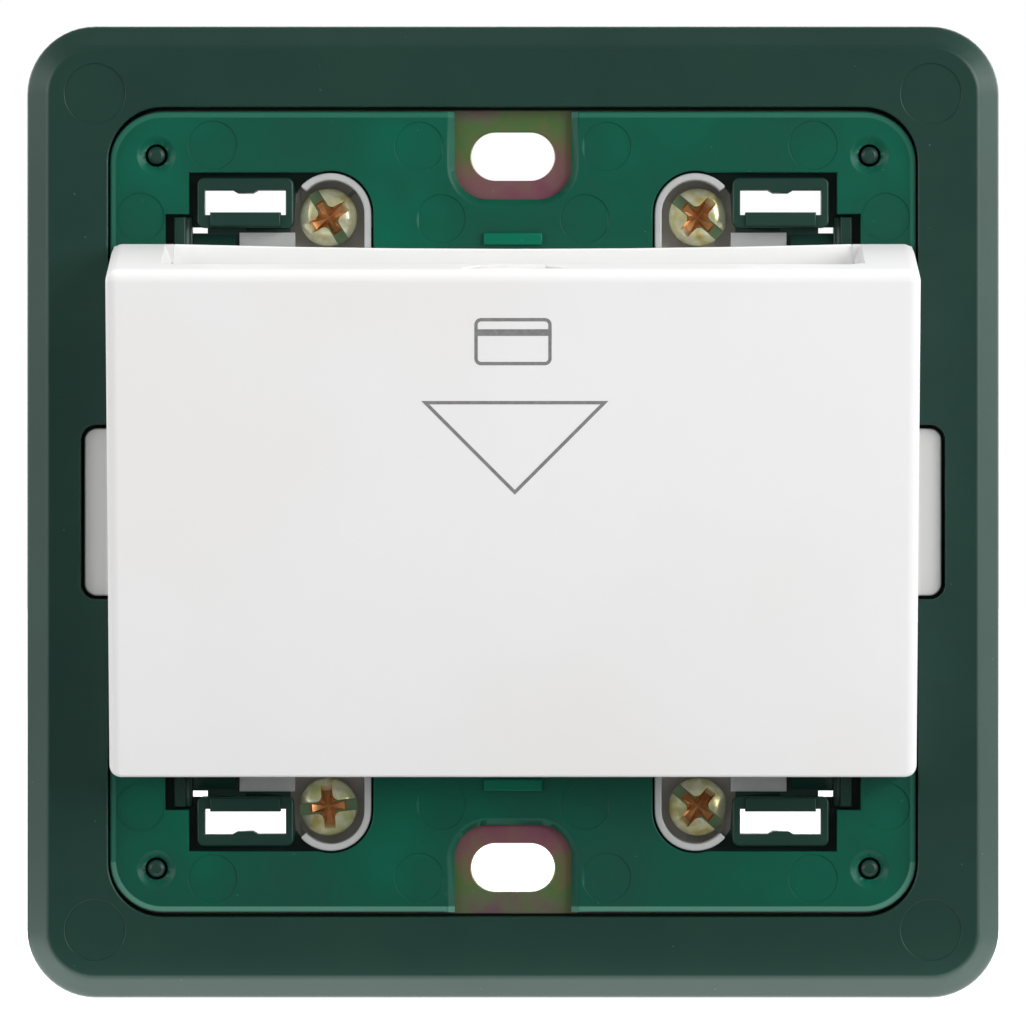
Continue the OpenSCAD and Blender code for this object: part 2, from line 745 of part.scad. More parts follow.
module pocket_base() color(white) {
    tongue = mouth_w / 2 - slide_gap;
    steps = 12;
    end_gap = 0.2;
    rebate = 0.3; // room round a hook
    hook_room = hook_l / 2 + rebate;
    head_gap = 0.1;
    difference() {
        union() {
            plate(base_back, base_front)
                span(-base_half, base_half, pocket_floor + end_gap, roof_low - end_gap);
            plate(base_back, base_front) polygon(concat([[-tongue, 0], [tongue, 0]],
                [for (i = [steps:-2:-steps]) let (t = i / steps)
                    [tongue * t, pocket_top - base_sag * (1 - t * t)]]));
            plate(tab_back, tab_front) intersection() {
                tab_outline(0);
                four() span(base_half - tab_root, tab_reach, -tab_h / 2, tab_h / 2);
            }
            both() plate(tab_back, base_front) span(base_half - tab_root, base_half, -tab_h / 2, tab_h / 2);
        }
        // windows for the lever's noses
        both() plate(base_back - over, base_front + over) span(nose_in - nose_window_gap,
            nose_end + nose_window_gap, nose_window_low, nose_window_top);
        four_solids() {
            // rebate for a hook of the shell
            plate(base_back - over, shell_back + face_gap + hook_t + bite)
                span(base_half - hook_in - rebate, base_half + over, hook_z - hook_room, hook_z + hook_room);
            post(boss_x, boss_z, base_back - over, base_front + over, base_screw_d + 2 * screw_gap);
            post(boss_x, boss_z, base_front - base_head_h - head_gap, base_front,
                base_screw_d, base_head_d + 2 * head_gap);
        }
    }
}

module pocket_base_screws() color(steel) four_solids() {
    face = base_front - 0.05;
    difference() {
        union() {
            post(boss_x, boss_z, base_front - base_screw_l, face, base_screw_d);
            post(boss_x, boss_z, face - base_head_h, face, base_screw_d, base_head_d);
        }
        plate(face - cross_deep, face + over) cross(boss_x, boss_z, base_cross, cross_w, 45);
    }
}

// Outline of the housing behind the wall
module housing_outline() {
    tower_low = waist_z - tower_root;
    rounded(housing_w, housing_h, housing_r);
    four() translate([(tower_in + tower_out) / 2, (tower_low + tower_top) / 2])
        rounded(tower_out - tower_in, tower_top - tower_low, tower_r);
}

// The U-shaped rim round a terminal screw, open on the clip's side
module terminal_rim() {
    clear = 0.5; // the rim ends this far from the clip collar
    plate(screw_seat - bite, rim_front) difference() {
        rim_outline(0);
        span(clip_in - clear, tower_out + over, waist_z - tower_root - over, tower_top);
    }
}

// The housing before its bosses, ribs and lugs are added
module housing_shell() {
    inner_w = housing_w - 2 * housing_wall;
    inner_h = housing_h - 2 * housing_wall;
    inner_waist = 2 * (waist_z - housing_wall);
    seat_back = screw_seat - seat_t;
    cage_half = cage_cavity_w / 2;
    cage_end = cage_z + cage_l / 2 + 0.2;
    difference() {
        union() {
            plate(housing_back, screw_seat) housing_outline();
            plate(screw_seat - bite, housing_front) square([housing_w, 2 * waist_z], center = true);
            plate(screw_seat - bite, block_front) four()
                span(tower_in, housing_w / 2, waist_z - tower_root / 2, housing_h / 2);
            both() plate(floor_back - shoulder_t, floor_back) span(housing_w / 2 - bite,
                housing_w / 2 + shoulder, shoulder_end - waist_z, waist_z - shoulder_end);
            four_solids() terminal_rim();
        }
        // room for the contacts and the lever
        plate(housing_back - over, plate_back) square([inner_w, inner_waist], center = true);
        plate(housing_back - over, seat_back) square([inner_w, inner_h], center = true);
        four_solids() {
            // room for the clamp cage
            plate(housing_back - over, seat_back)
                span(terminal_x - cage_half, terminal_x + cage_half, rib_in, cage_end);
            // room for the screw's head
            plate(screw_seat, cover_front + over) {
                translate([rim_x, rim_z]) circle(chamber_r);
                span(rim_x - chamber_r, terminal_x + head_d / 2 + chamber_side, chamber_low, rim_z);
            }
        }
    }
}

module mechanism_housing() color(light_grey) {
    root = plate_back + bite;
    base_boss_back = base_front - base_screw_l - hole_end - boss_floor;
    rear_boss_r = boss_r + 0.1;
    strip_half = strip_w / 2;
    wire_half = wire_w / 2 + 0.2;
    wire_front = strip_back + 0.3;
    wire_back = cage_back + cage_foot_t - face_gap;
    difference() {
        union() {
            housing_shell();
            // bosses, strip ribs and pin lugs
            four_solids() {
                post(boss_x, boss_z, base_boss_back, root, 2 * boss_r);
                plate(strip_front, root)
                    span(terminal_x - strip_half, terminal_x + strip_half, rib_in, rib_in + rib_l);
            }
            both() {
                post(boss_x, 0, housing_back, root, 2 * rear_boss_r);
                swept(lug_in, lug_out) polygon([[root, pivot_z - lug_root], [root, pivot_z + lug_root],
                    [pivot_d - lug_over, pivot_z + lug_tip], [pivot_d - lug_over, pivot_z - lug_tip]]);
            }
        }
        rod(-lug_out - over, lug_out + over, pivot_d, pivot_z, pin_d + 2 * fit);
        plate(plate_back - over, housing_front + over) span(-nose_end - over, nose_end + over,
            nose_window_low - plate_window_gap, nose_window_top + plate_window_gap);
        both() post(boss_x, 0, housing_back - over, housing_back + rear_screw_l + hole_end,
            rear_screw_d + 2 * fit);
        four_solids() {
            post(boss_x, boss_z, base_boss_back + boss_floor, housing_front + over, base_screw_d + 2 * fit);
            post(terminal_x, terminal_z, screw_seat - seat_t - over, screw_seat + over,
                thread_d + 2 * screw_gap);
            // wire entry
            plate(wire_back, wire_front)
                span(terminal_x - wire_half, terminal_x + wire_half, cage_z, tower_top + over);
        }
    }
}

module rear_cover() color(light_grey) {
    front = housing_back;
    root = front - bite;
    back = front - rear_cover_t;
    post_half = post_w / 2;
    post_low = tip_z - 1;
    post_top = riser_z - 1;
    shelf_half = spring_d / 2 + shelf_side;
    difference() {
        union() {
            plate(back, front) housing_outline();
            both() {
                // posts that hold the strips against their ribs
                plate(root, fixed_strip_back)
                    span(terminal_x - post_half, terminal_x + post_half, post_low, post_top);
                plate(root, strip_back)
                    span(terminal_x - post_half, terminal_x + post_half, -rib_in - rib_l, -rib_in);
            }
            // shelf that the lever spring pushes against
            plate(root, spring_at + spring_d / 2 + shelf_lip)
                span(-shelf_half, shelf_half, shelf_z, shelf_z + shelf_t);
            translate([0, -spring_at, shelf_z - spigot_l]) cylinder(h = spigot_l + bite, d = spigot_d);
        }
        both() {
            post(boss_x, 0, back - over, front + over, rear_screw_d + 2 * screw_gap);
            post(boss_x, 0, back - over, back + rear_head_h, rear_head_d + 2 * screw_gap);
        }
    }
}

module rear_cover_screws() color(steel) both() {
    back = housing_back - rear_cover_t;
    face = back + face_gap;
    difference() {
        union() {
            post(boss_x, 0, face, back + rear_head_h, rear_head_d);
            post(boss_x, 0, face + bite, housing_back + rear_screw_l, rear_screw_d);
        }
        plate(back - over, face + cross_deep) cross(boss_x, 0, rear_cross, cross_w, 0);
    }
}

module card_lever() color(light_grey) {
    bar_half = terminal_x + bar_end;
    finger_in = terminal_x - finger_w / 2;
    finger_out = terminal_x + finger_w / 2;
    finger_d = blade_d + blade_t / 2 + finger_gap + finger_r; // axis of the rounded finger tip
    tail_back = spring_at - spring_d / 2;
    shoulder_d = base_front - nose_edge;
    foot_rise = 0.2;
    tip_low = 1;
    tip_high = 0.7;
    ramp_high = 3.8;
    root_high = 4;
    difference() {
        union() {
            rod(-hub_half, hub_half, pivot_d, pivot_z, hub_d);
            swept(-nose_end, nose_end) polygon([[web_back, nose_low], [web_front, nose_low],
                [web_front, pivot_z], [web_back, pivot_z]]);
            both() {
                swept(nose_in, nose_end) polygon([[web_back + bite, nose_low],
                    [shoulder_d, nose_low + foot_rise], [nose_d, nose_z - tip_low],
                    [nose_d, nose_z + tip_high], [shoulder_d, nose_z + ramp_high],
                    [web_back + bite, nose_z + root_high]]);
                swept(finger_in, finger_out) translate([finger_d, bar_z - finger_r])
                    square([web_back - finger_d, 2 * finger_r]);
                rod(finger_in, finger_out, finger_d, bar_z, 2 * finger_r);
            }
            swept(-bar_half, bar_half) translate([web_back - bar_behind, bar_z - bar_h / 2])
                square([bar_behind + bar_ahead, bar_h]);
            swept(-tail_half, tail_half) translate([tail_back, tail_top - tail_t])
                square([pivot_d - tail_back, tail_t]);
            translate([0, -spring_at, tail_top - bite]) cylinder(h = spigot_l + bite, d = spigot_d);
        }
        rod(-hub_half - over, hub_half + over, pivot_d, pivot_z, pin_d + 2 * running);
    }
}

module lever_pin() color(steel) rod(face_gap - lug_out, lug_out - face_gap, pivot_d, pivot_z, pin_d);

module lever_spring() color(steel) {
    n = len(wire_points);
    ring_points = [for (i = [0:n - 1], k = [0:ring_sides - 1])
        wire_points[i] + spring_wire / 2 * (ray(i) * cos(360 * k / ring_sides)
            + [0, 0, sin(360 * k / ring_sides)])];
    walls = [for (i = [0:n - 2], k = [0:ring_sides - 1])
        let (j = (k + 1) % ring_sides, a = i * ring_sides, b = a + ring_sides)
            each [[a + k, a + j, b + k], [a + j, b + j, b + k]]];
    last = (n - 1) * ring_sides;
    ends = [for (k = [1:ring_sides - 2]) each [[0, k + 1, k], [last, last + k, last + k + 1]]];
    translate([0, -spring_at, tail_top + spring_wire / 2]) polyhedron(ring_points, concat(walls, ends));
}

// A terminal screw with a slot across its head and a cross recess in the middle
module terminal_screw(c) color(passivated) {
    tip = strip_front + face_gap;
    tip_d1 = thread_d - 0.8;
    x = c[1] * terminal_x;
    z = c[2] * terminal_z;
    face = screw_seat + head_h;
    difference() {
        union() {
            post(x, z, screw_seat + fit, face - screw_bevel, head_d);
            post(x, z, face - screw_bevel, face, head_d, head_d - 1.5 * screw_bevel);
            post(x, z, tip + screw_tip, screw_seat + bite, thread_d);
            post(x, z, tip, tip + screw_tip, tip_d1, thread_d);
        }
        plate(face - screw_slot_deep, face + over) translate([x, z]) rotate(c[3])
            square([head_d + over, screw_groove], center = true);
        plate(face - screw_cross_deep, face + over) cross(x, z, screw_cross_l, screw_groove, c[3]);
    }
}

module clamp_cage(c) color(silver) at_corner(c) difference() {
    plate(cage_back, cage_front) translate([terminal_x, cage_z]) square([cage_w, cage_l], center = true);
    plate(cage_back + cage_foot_t, cage_front - cage_bridge_t) translate([terminal_x, cage_z])
        square([wire_w, cage_l + over], center = true);
    post(terminal_x, terminal_z, cage_front - cage_bridge_t - over, cage_front + over,
        thread_d + 2 * running);
}

// Strip from an upper terminal to the fixed contact
module upper_contact_strip(s) color(brass) at_side(s) {
    low = tip_z - tip_d / 2 - tip_edge;
    swept(terminal_x - strip_w / 2, terminal_x + strip_w / 2) polygon([[strip_front, strip_end],
        [strip_front, riser_z], [fixed_strip_front, riser_z], [fixed_strip_front, low],
        [fixed_strip_back, low], [fixed_strip_back, riser_z + strip_t],
        [strip_back, riser_z + strip_t], [strip_back, strip_end]]);
}

// Strip from a lower terminal to the root of the moving blade
module lower_contact_strip(s) color(brass) at_side(s) {
    top = blade_z - blade_t / 2 - face_gap;
    swept(terminal_x - strip_w / 2, terminal_x + strip_w / 2)
        translate([strip_back, -strip_end]) square([strip_t, strip_end + top]);
}

module contact_arm(s) color(bronze) at_side(s) {
    blade_in = terminal_x - blade_w / 2;
    blade_out = terminal_x + blade_w / 2;
    blade_l = tip_z + tip_d / 2 + blade_edge - blade_z;
    swept(blade_in, blade_out) translate([blade_d - blade_t / 2, blade_z]) square([blade_t, blade_l]);
    rod(blade_in, blade_out, blade_d, blade_z, blade_t);
}

// Domed tip on the moving blade
module arm_contact_tip(s) color(silver) at_side(s) intersection() {
    post(terminal_x, tip_z, arm_tip_face, arm_tip_face + tip_t, tip_d);
    translate([terminal_x, -(arm_tip_face + tip_dome_r), tip_z]) sphere(tip_dome_r);
}

module fixed_contact_tip(s) color(silver) at_side(s)
    post(terminal_x, tip_z, fixed_strip_front, fixed_face, tip_d);

mounting_frame();
steel_bridge();
insulating_cover();
pocket_front();
pocket_base();
pocket_base_screws();
mechanism_housing();
rear_cover();
rear_cover_screws();
card_lever();
lever_pin();
lever_spring();
for (c = corners) {
    terminal_screw(c);
    clamp_cage(c);
}
for (s = sides) {
    upper_contact_strip(s);
    lower_contact_strip(s);
    contact_arm(s);
    arm_contact_tip(s);
    fixed_contact_tip(s);
}
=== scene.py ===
import math

import bmesh
import bpy
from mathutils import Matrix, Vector


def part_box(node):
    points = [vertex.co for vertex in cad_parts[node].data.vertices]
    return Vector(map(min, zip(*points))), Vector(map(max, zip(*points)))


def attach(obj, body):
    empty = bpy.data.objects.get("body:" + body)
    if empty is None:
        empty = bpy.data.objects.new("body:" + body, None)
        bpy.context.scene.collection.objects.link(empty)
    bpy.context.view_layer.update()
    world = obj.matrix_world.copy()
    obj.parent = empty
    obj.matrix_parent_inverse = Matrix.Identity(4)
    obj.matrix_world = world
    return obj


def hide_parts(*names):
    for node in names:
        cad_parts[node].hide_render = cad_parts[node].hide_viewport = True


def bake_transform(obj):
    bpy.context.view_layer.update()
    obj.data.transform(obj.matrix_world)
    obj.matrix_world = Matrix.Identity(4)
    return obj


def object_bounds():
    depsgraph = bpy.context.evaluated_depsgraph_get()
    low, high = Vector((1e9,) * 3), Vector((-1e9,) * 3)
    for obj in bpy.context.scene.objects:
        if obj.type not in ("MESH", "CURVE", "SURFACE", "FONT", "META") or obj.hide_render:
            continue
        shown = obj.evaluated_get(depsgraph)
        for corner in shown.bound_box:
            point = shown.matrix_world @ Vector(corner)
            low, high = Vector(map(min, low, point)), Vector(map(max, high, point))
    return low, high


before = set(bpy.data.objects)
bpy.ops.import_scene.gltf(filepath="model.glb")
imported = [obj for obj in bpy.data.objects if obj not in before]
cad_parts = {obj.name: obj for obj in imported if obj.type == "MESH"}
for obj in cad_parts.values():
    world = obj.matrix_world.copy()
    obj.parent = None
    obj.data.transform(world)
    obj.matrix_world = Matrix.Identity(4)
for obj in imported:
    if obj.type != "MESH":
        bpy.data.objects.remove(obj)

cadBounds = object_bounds()
scene = bpy.context.scene
mm = 0.001
near = 0.02  # mm within which two places count as one
slack = 0.1  # mm by which an edge may miss an outline that it belongs to
facing = 0.9  # part of a normal along an axis from which a face counts as facing that way
print("frame loaded:", len(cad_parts), "nodes")


def hexColour(code):
    # sRGB hex to the linear colour that the shader takes
    parts = [int(code[i:i + 2], 16) / 255 for i in (1, 3, 5)]
    return [p / 12.92 if p <= 0.04045 else ((p + 0.055) / 1.055) ** 2.4 for p in parts] + [1.0]


def perMetre(sizeMm):
    # texture scale for features of this size, as Object coordinates are metres
    return 1 / (sizeMm * mm)


def addNode(tree, kind, inputs=None, **settings):
    node = tree.nodes.new(kind)
    for key, value in settings.items():
        setattr(node, key, value)
    for socket, value in (inputs or {}).items():
        if isinstance(value, bpy.types.NodeSocket):
            tree.links.new(value, node.inputs[socket])
        else:
            node.inputs[socket].default_value = value
    return node


def setStops(ramp, stops):
    # stops of a colour ramp: (place, hex colour)
    while len(ramp.elements) < len(stops):
        ramp.elements.new(0.5)
    for element, (place, code) in zip(ramp.elements, stops):
        element.position = place
        element.color = hexColour(code)


def startMaterial(name):
    material = bpy.data.materials.new(name)
    material.use_nodes = True
    tree = material.node_tree
    shader = tree.nodes["Principled BSDF"]
    place = addNode(tree, "ShaderNodeTexCoord").outputs["Object"]
    return material, tree, shader, place


# A speck's core and rim, as parts of the distance between specks, and how much of the base it hides
speckDot = {"core": 0.05, "rim": 0.09, "cover": 0.6}


def withSpecks(tree, place, base, s):
    # base colour with a few pale specks of dust strewn over it
    dots = addNode(tree, "ShaderNodeTexVoronoi", {"Vector": place, "Scale": perMetre(s["speckMm"])})
    isDot = addNode(tree, "ShaderNodeMapRange", {
        "Value": dots.outputs["Distance"], "From Min": speckDot["core"], "From Max": speckDot["rim"],
        "To Min": speckDot["cover"], "To Max": 0.0})
    rare = addNode(tree, "ShaderNodeSeparateColor", {"Color": dots.outputs["Color"]})
    few = addNode(tree, "ShaderNodeMath", {
        0: rare.outputs["Red"], 1: 1 - s["speckShare"]}, operation="GREATER_THAN")
    speck = addNode(tree, "ShaderNodeMath", {
        0: isDot.outputs["Result"], 1: few.outputs["Value"]}, operation="MULTIPLY")
    return addNode(tree, "ShaderNodeMix", {
        "Factor": speck.outputs["Value"], 6: base, 7: hexColour(s["speck"])}, data_type="RGBA").outputs[2]


# Settings that go straight into the shader
shaderInputs = {"roughness": "Roughness", "specular": "Specular IOR Level", "ior": "IOR",
                "metallic": "Metallic"}


def finishSkin(tree, shader, place, s, colour, grain=None):
    # colour, low relief of the surface from its grain, and the shader's plain values
    tree.links.new(colour, shader.inputs["Base Color"])
    grain = grain or addNode(tree, "ShaderNodeTexNoise", {
        "Vector": place, "Scale": perMetre(s["grainMm"]), "Detail": s.get("grainDetail", 2.0)})
    bump = addNode(tree, "ShaderNodeBump", {
        "Strength": s["bump"], "Distance": s["reliefMm"] * mm, "Height": grain.outputs["Fac"]})
    tree.links.new(bump.outputs["Normal"], shader.inputs["Normal"])
    for key, socket in shaderInputs.items():
        if key in s:
            shader.inputs[socket].default_value = s[key]


# Polycarbonate moulded in a spark-eroded tool: a dull skin with a fine even grain and a few pale specks
frameSettings = {"dark": "#13372e", "pale": "#173b31", "speck": "#5d7870", "roughness": 0.42, "specular": 0.3,
                 "cloudMm": 9, "grainMm": 0.22, "bump": 0.25, "reliefMm": 0.02, "speckMm": 0.9,
                 "speckShare": 0.07, "ior": 1.585}


def darkGreenPolycarbonate(s):
    material, tree, shader, place = startMaterial("dark_green_polycarbonate")
    cloud = addNode(tree, "ShaderNodeTexNoise", {
        "Vector": place, "Scale": perMetre(s["cloudMm"]), "Detail": 4.0, "Roughness": 0.6})
    tint = addNode(tree, "ShaderNodeValToRGB", {"Fac": cloud.outputs["Fac"]})
    setStops(tint.color_ramp, [(0.35, s["dark"]), (0.65, s["pale"])])
    finishSkin(tree, shader, place, s, withSpecks(tree, place, tint.outputs["Color"], s))
    return material


# Clear-based green polycarbonate over bright steel: deep colour, cloudy where it is thick, satin skin,
# with a painted glow in the small ribs that stand proud and a painted highlight along the border, lighter at
# the bottom
coverSettings = {"stops": [(0.3, "#184c3f"), (0.5, "#0d5341"), (0.7, "#01614a")], "rib": "#006a50",
                 "ribMm": 3.1, "borderHighlight": "#2b6d5a", "lowBorderHighlight": "#528775", "cornerAt": 29.5,
                 "cornerEndAt": 29.27, "borderFrom": 3.92, "borderTo": 4.02, "speck": "#4f8f7c",
                 "roughness": 0.4, "specular": 0.14, "cloudMm": 15, "grainMm": 0.3, "bump": 0.12,
                 "reliefMm": 0.02, "speckMm": 0.8, "speckShare": 0.1, "ior": 1.585}


def greenTranslucentPolycarbonate(s):
    material, tree, shader, place = startMaterial("green_translucent_polycarbonate")
    cloud = addNode(tree, "ShaderNodeTexNoise", {
        "Vector": place, "Scale": perMetre(s["cloudMm"]), "Detail": 3.0, "Roughness": 0.55})
    tint = addNode(tree, "ShaderNodeValToRGB", {"Fac": cloud.outputs["Fac"]})
    setStops(tint.color_ramp, s["stops"])
    axes = addNode(tree, "ShaderNodeSeparateXYZ", {"Vector": place})
    # painted glow: the small ribs that stand proud are painted a brighter green
    onGlowingRib = addNode(tree, "ShaderNodeMath", {
        0: axes.outputs["Y"], 1: -s["ribMm"] * mm}, operation="LESS_THAN")
    base = addNode(tree, "ShaderNodeMix", {
        "Factor": onGlowingRib.outputs["Value"], 6: tint.outputs["Color"], 7: hexColour(s["rib"])},
        data_type="RGBA")
    # distance past the middle of the rounded corners tells how close to the outline a place is
    aside = addNode(tree, "ShaderNodeVectorMath", {0: place}, operation="ABSOLUTE")
    cornerMiddle = (s["cornerAt"] * mm, 1.0, s["cornerEndAt"] * mm)
    past = addNode(tree, "ShaderNodeVectorMath", {
        0: aside.outputs["Vector"], 1: cornerMiddle}, operation="SUBTRACT")
    outside = addNode(tree, "ShaderNodeVectorMath", {
        0: past.outputs["Vector"], 1: (0, 0, 0)}, operation="MAXIMUM")
    reach = addNode(tree, "ShaderNodeVectorMath", {0: outside.outputs["Vector"]}, operation="LENGTH")
    # painted highlight: a band along the outline is painted lighter
    onBorderHighlight = addNode(tree, "ShaderNodeMapRange", {
        "Value": reach.outputs["Value"], "From Min": s["borderFrom"] * mm, "From Max": s["borderTo"] * mm})
    # the lower border is painted lighter still, a painted highlight from light that comes from below
    below = addNode(tree, "ShaderNodeMath", {
        0: axes.outputs["Z"], 1: -s["cornerAt"] * mm}, operation="LESS_THAN")
    edge = addNode(tree, "ShaderNodeMix", {
        "Factor": below.outputs["Value"], 6: hexColour(s["borderHighlight"]), 7: hexColour(s["lowBorderHighlight"])},
        data_type="RGBA")
    whole = addNode(tree, "ShaderNodeMix", {
        "Factor": onBorderHighlight.outputs["Result"], 6: base.outputs[2], 7: edge.outputs[2]}, data_type="RGBA")
    finishSkin(tree, shader, place, s, withSpecks(tree, place, whole.outputs[2], s))
    return material


# Sheet steel, zinc plated with a chromate film: a dull metal whose thin film drifts from mauve through brown
# to green towards the plate's ends, with pale specks
bridgeSettings = {"stops": [(0.12, "#935b6d"), (0.36, "#986e6e"), (0.5, "#867d5c"), (0.64, "#658a50"),
                            (0.84, "#7a8062"), (0.98, "#836a6f")],
                  "slotZ": 30, "spanMm": 5, "slope": 0.1, "drift": 1.1, "driftMm": 4.5, "grainMm": 0.12,
                  "bump": 0.2, "reliefMm": 0.01, "roughness": 0.42, "metallic": 0.7, "speck": "#c9bda4",
                  "speckMm": 0.55, "speckShare": 0.12}


def chromatedSteel(s):
    material, tree, shader, place = startMaterial("chromated_sheet_steel")
    axes = addNode(tree, "ShaderNodeSeparateXYZ", {"Vector": place})
    height = addNode(tree, "ShaderNodeMath", {0: axes.outputs["Z"]}, operation="ABSOLUTE")
    lean = s["spanMm"] * s["slope"]
    outward = addNode(tree, "ShaderNodeMapRange", {
        "Value": height.outputs["Value"], "From Min": (s["slotZ"] - s["spanMm"]) * mm,
        "From Max": (s["slotZ"] + s["spanMm"]) * mm, "To Min": 0.5 - lean, "To Max": 0.5 + lean})
    film = addNode(tree, "ShaderNodeTexNoise", {
        "Vector": place, "Scale": perMetre(s["driftMm"]), "Detail": 4.0, "Roughness": 0.55,
        "Distortion": 0.4})
    drift = addNode(tree, "ShaderNodeMapRange", {
        "Value": film.outputs["Fac"], "To Min": -s["drift"] / 2, "To Max": s["drift"] / 2})
    thickness = addNode(tree, "ShaderNodeMath", {
        0: outward.outputs["Result"], 1: drift.outputs["Result"]}, operation="ADD")
    tint = addNode(tree, "ShaderNodeValToRGB", {"Fac": thickness.outputs["Value"]})
    setStops(tint.color_ramp, s["stops"])
    finishSkin(tree, shader, place, s, withSpecks(tree, place, tint.outputs["Color"], s))
    return material


# Satin white ABS: bright, even, with a barely wavy moulded skin; painted shade greys the side tabs beside the
# proud pocket, and painted light whitens the back wall of the mouth
pocketSettings = {"light": "#eeedee", "shade": "#ebeae9", "tab": "#cfcfce", "tabFrom": 33.9, "tabTo": 34.4,
                  "mouth": "#fdfdfc", "mouthX": 28.5, "mouthFrom": 19.0, "mouthTo": 20.5, "mouthBack": 6.0,
                  "cloudMm": 30, "grainMm": 5, "grainDetail": 1.0, "bump": 0.05, "reliefMm": 0.02,
                  "roughness": 0.45, "specular": 0.15}


def whiteAbs(s):
    material, tree, shader, place = startMaterial("white_satin_abs")
    cloud = addNode(tree, "ShaderNodeTexNoise", {
        "Vector": place, "Scale": perMetre(s["cloudMm"]), "Detail": 2.0})
    tint = addNode(tree, "ShaderNodeValToRGB", {"Fac": cloud.outputs["Fac"]})
    setStops(tint.color_ramp, [(0.4, s["shade"]), (0.6, s["light"])])
    axes = addNode(tree, "ShaderNodeSeparateXYZ", {"Vector": place})
    aside = addNode(tree, "ShaderNodeMath", {0: axes.outputs["X"]}, operation="ABSOLUTE")
    # painted shade: the side tabs beside the proud pocket are painted greyer
    tabShade = addNode(tree, "ShaderNodeMapRange", {
        "Value": aside.outputs["Value"], "From Min": s["tabFrom"] * mm, "From Max": s["tabTo"] * mm})
    base = addNode(tree, "ShaderNodeMix", {
        "Factor": tabShade.outputs["Result"], 6: tint.outputs["Color"], 7: hexColour(s["tab"])},
        data_type="RGBA")
    # painted light: the back wall of the mouth is painted whiter than the rest of the skin
    up = addNode(tree, "ShaderNodeMapRange", {
        "Value": axes.outputs["Z"], "From Min": s["mouthFrom"] * mm, "From Max": s["mouthTo"] * mm})
    back = addNode(tree, "ShaderNodeMath", {
        0: axes.outputs["Y"], 1: -s["mouthBack"] * mm}, operation="GREATER_THAN")
    within = addNode(tree, "ShaderNodeMath", {
        0: aside.outputs["Value"], 1: s["mouthX"] * mm}, operation="LESS_THAN")
    wall = addNode(tree, "ShaderNodeMath", {
        0: back.outputs["Value"], 1: within.outputs["Value"]}, operation="MULTIPLY")
    inMouth = addNode(tree, "ShaderNodeMath", {
        0: wall.outputs["Value"], 1: up.outputs["Result"]}, operation="MULTIPLY")
    whole = addNode(tree, "ShaderNodeMix", {
        "Factor": inMouth.outputs["Value"], 6: base.outputs[2], 7: hexColour(s["mouth"])}, data_type="RGBA")
    finishSkin(tree, shader, place, s, whole.outputs[2])
    return material


# Light grey glass-filled polyamide: satin, with the faint streaks of the filler, and painted shade, darker
# and browner, on the floor of the screw chambers
housingSettings = {"light": "#babcbb", "shade": "#b4b7b6", "chamberShade": "#a8a39e",
                   "floor": (-0.6, -0.45, 0.1, 0.9), "streakMm": 1.6, "grainMm": 0.25, "bump": 0.15,
                   "reliefMm": 0.02, "roughness": 0.45}


def greyPolyamide(s):
    material, tree, shader, place = startMaterial("light_grey_polyamide")
    streak = addNode(tree, "ShaderNodeTexNoise", {
        "Vector": place, "Scale": perMetre(s["streakMm"]), "Detail": 4.0})
    tint = addNode(tree, "ShaderNodeValToRGB", {"Fac": streak.outputs["Fac"]})
    setStops(tint.color_ramp, [(0.35, s["shade"]), (0.65, s["light"])])
    axes = addNode(tree, "ShaderNodeSeparateXYZ", {"Vector": place})
    below, low, high, above = s["floor"]  # depths between which the painted shade comes and goes
    rising = addNode(tree, "ShaderNodeMapRange", {
        "Value": axes.outputs["Y"], "From Min": -below * mm, "From Max": -low * mm})
    falling = addNode(tree, "ShaderNodeMapRange", {
        "Value": axes.outputs["Y"], "From Min": -above * mm, "From Max": -high * mm})
    onShadedFloor = addNode(tree, "ShaderNodeMath", {
        0: rising.outputs["Result"], 1: falling.outputs["Result"]}, operation="MULTIPLY")
    base = addNode(tree, "ShaderNodeMix", {
        "Factor": onShadedFloor.outputs["Value"], 6: tint.outputs["Color"], 7: hexColour(s["chamberShade"])},
        data_type="RGBA")
    finishSkin(tree, shader, place, s, base.outputs[2])
    return material


# Zinc plated steel with a yellow chromate film: pale straw and green on the lands, olive in the slot, copper
# in the cross recess, where the film is thick
screwSettings = {"stops": [(0.3, "#c9b974"), (0.42, "#dcd8a4"), (0.54, "#f0eed2"), (0.66, "#d3d893"),
                           (0.78, "#d8bd9b")],
                 "slot": "#86a07a", "copper": [(0.35, "#a0622b"), (0.65, "#dca066")],
                 "filmMm": 1.8, "grainMm": 0.1, "bump": 0.15, "reliefMm": 0.01, "roughness": 0.22,
                 "metallic": 0.5}


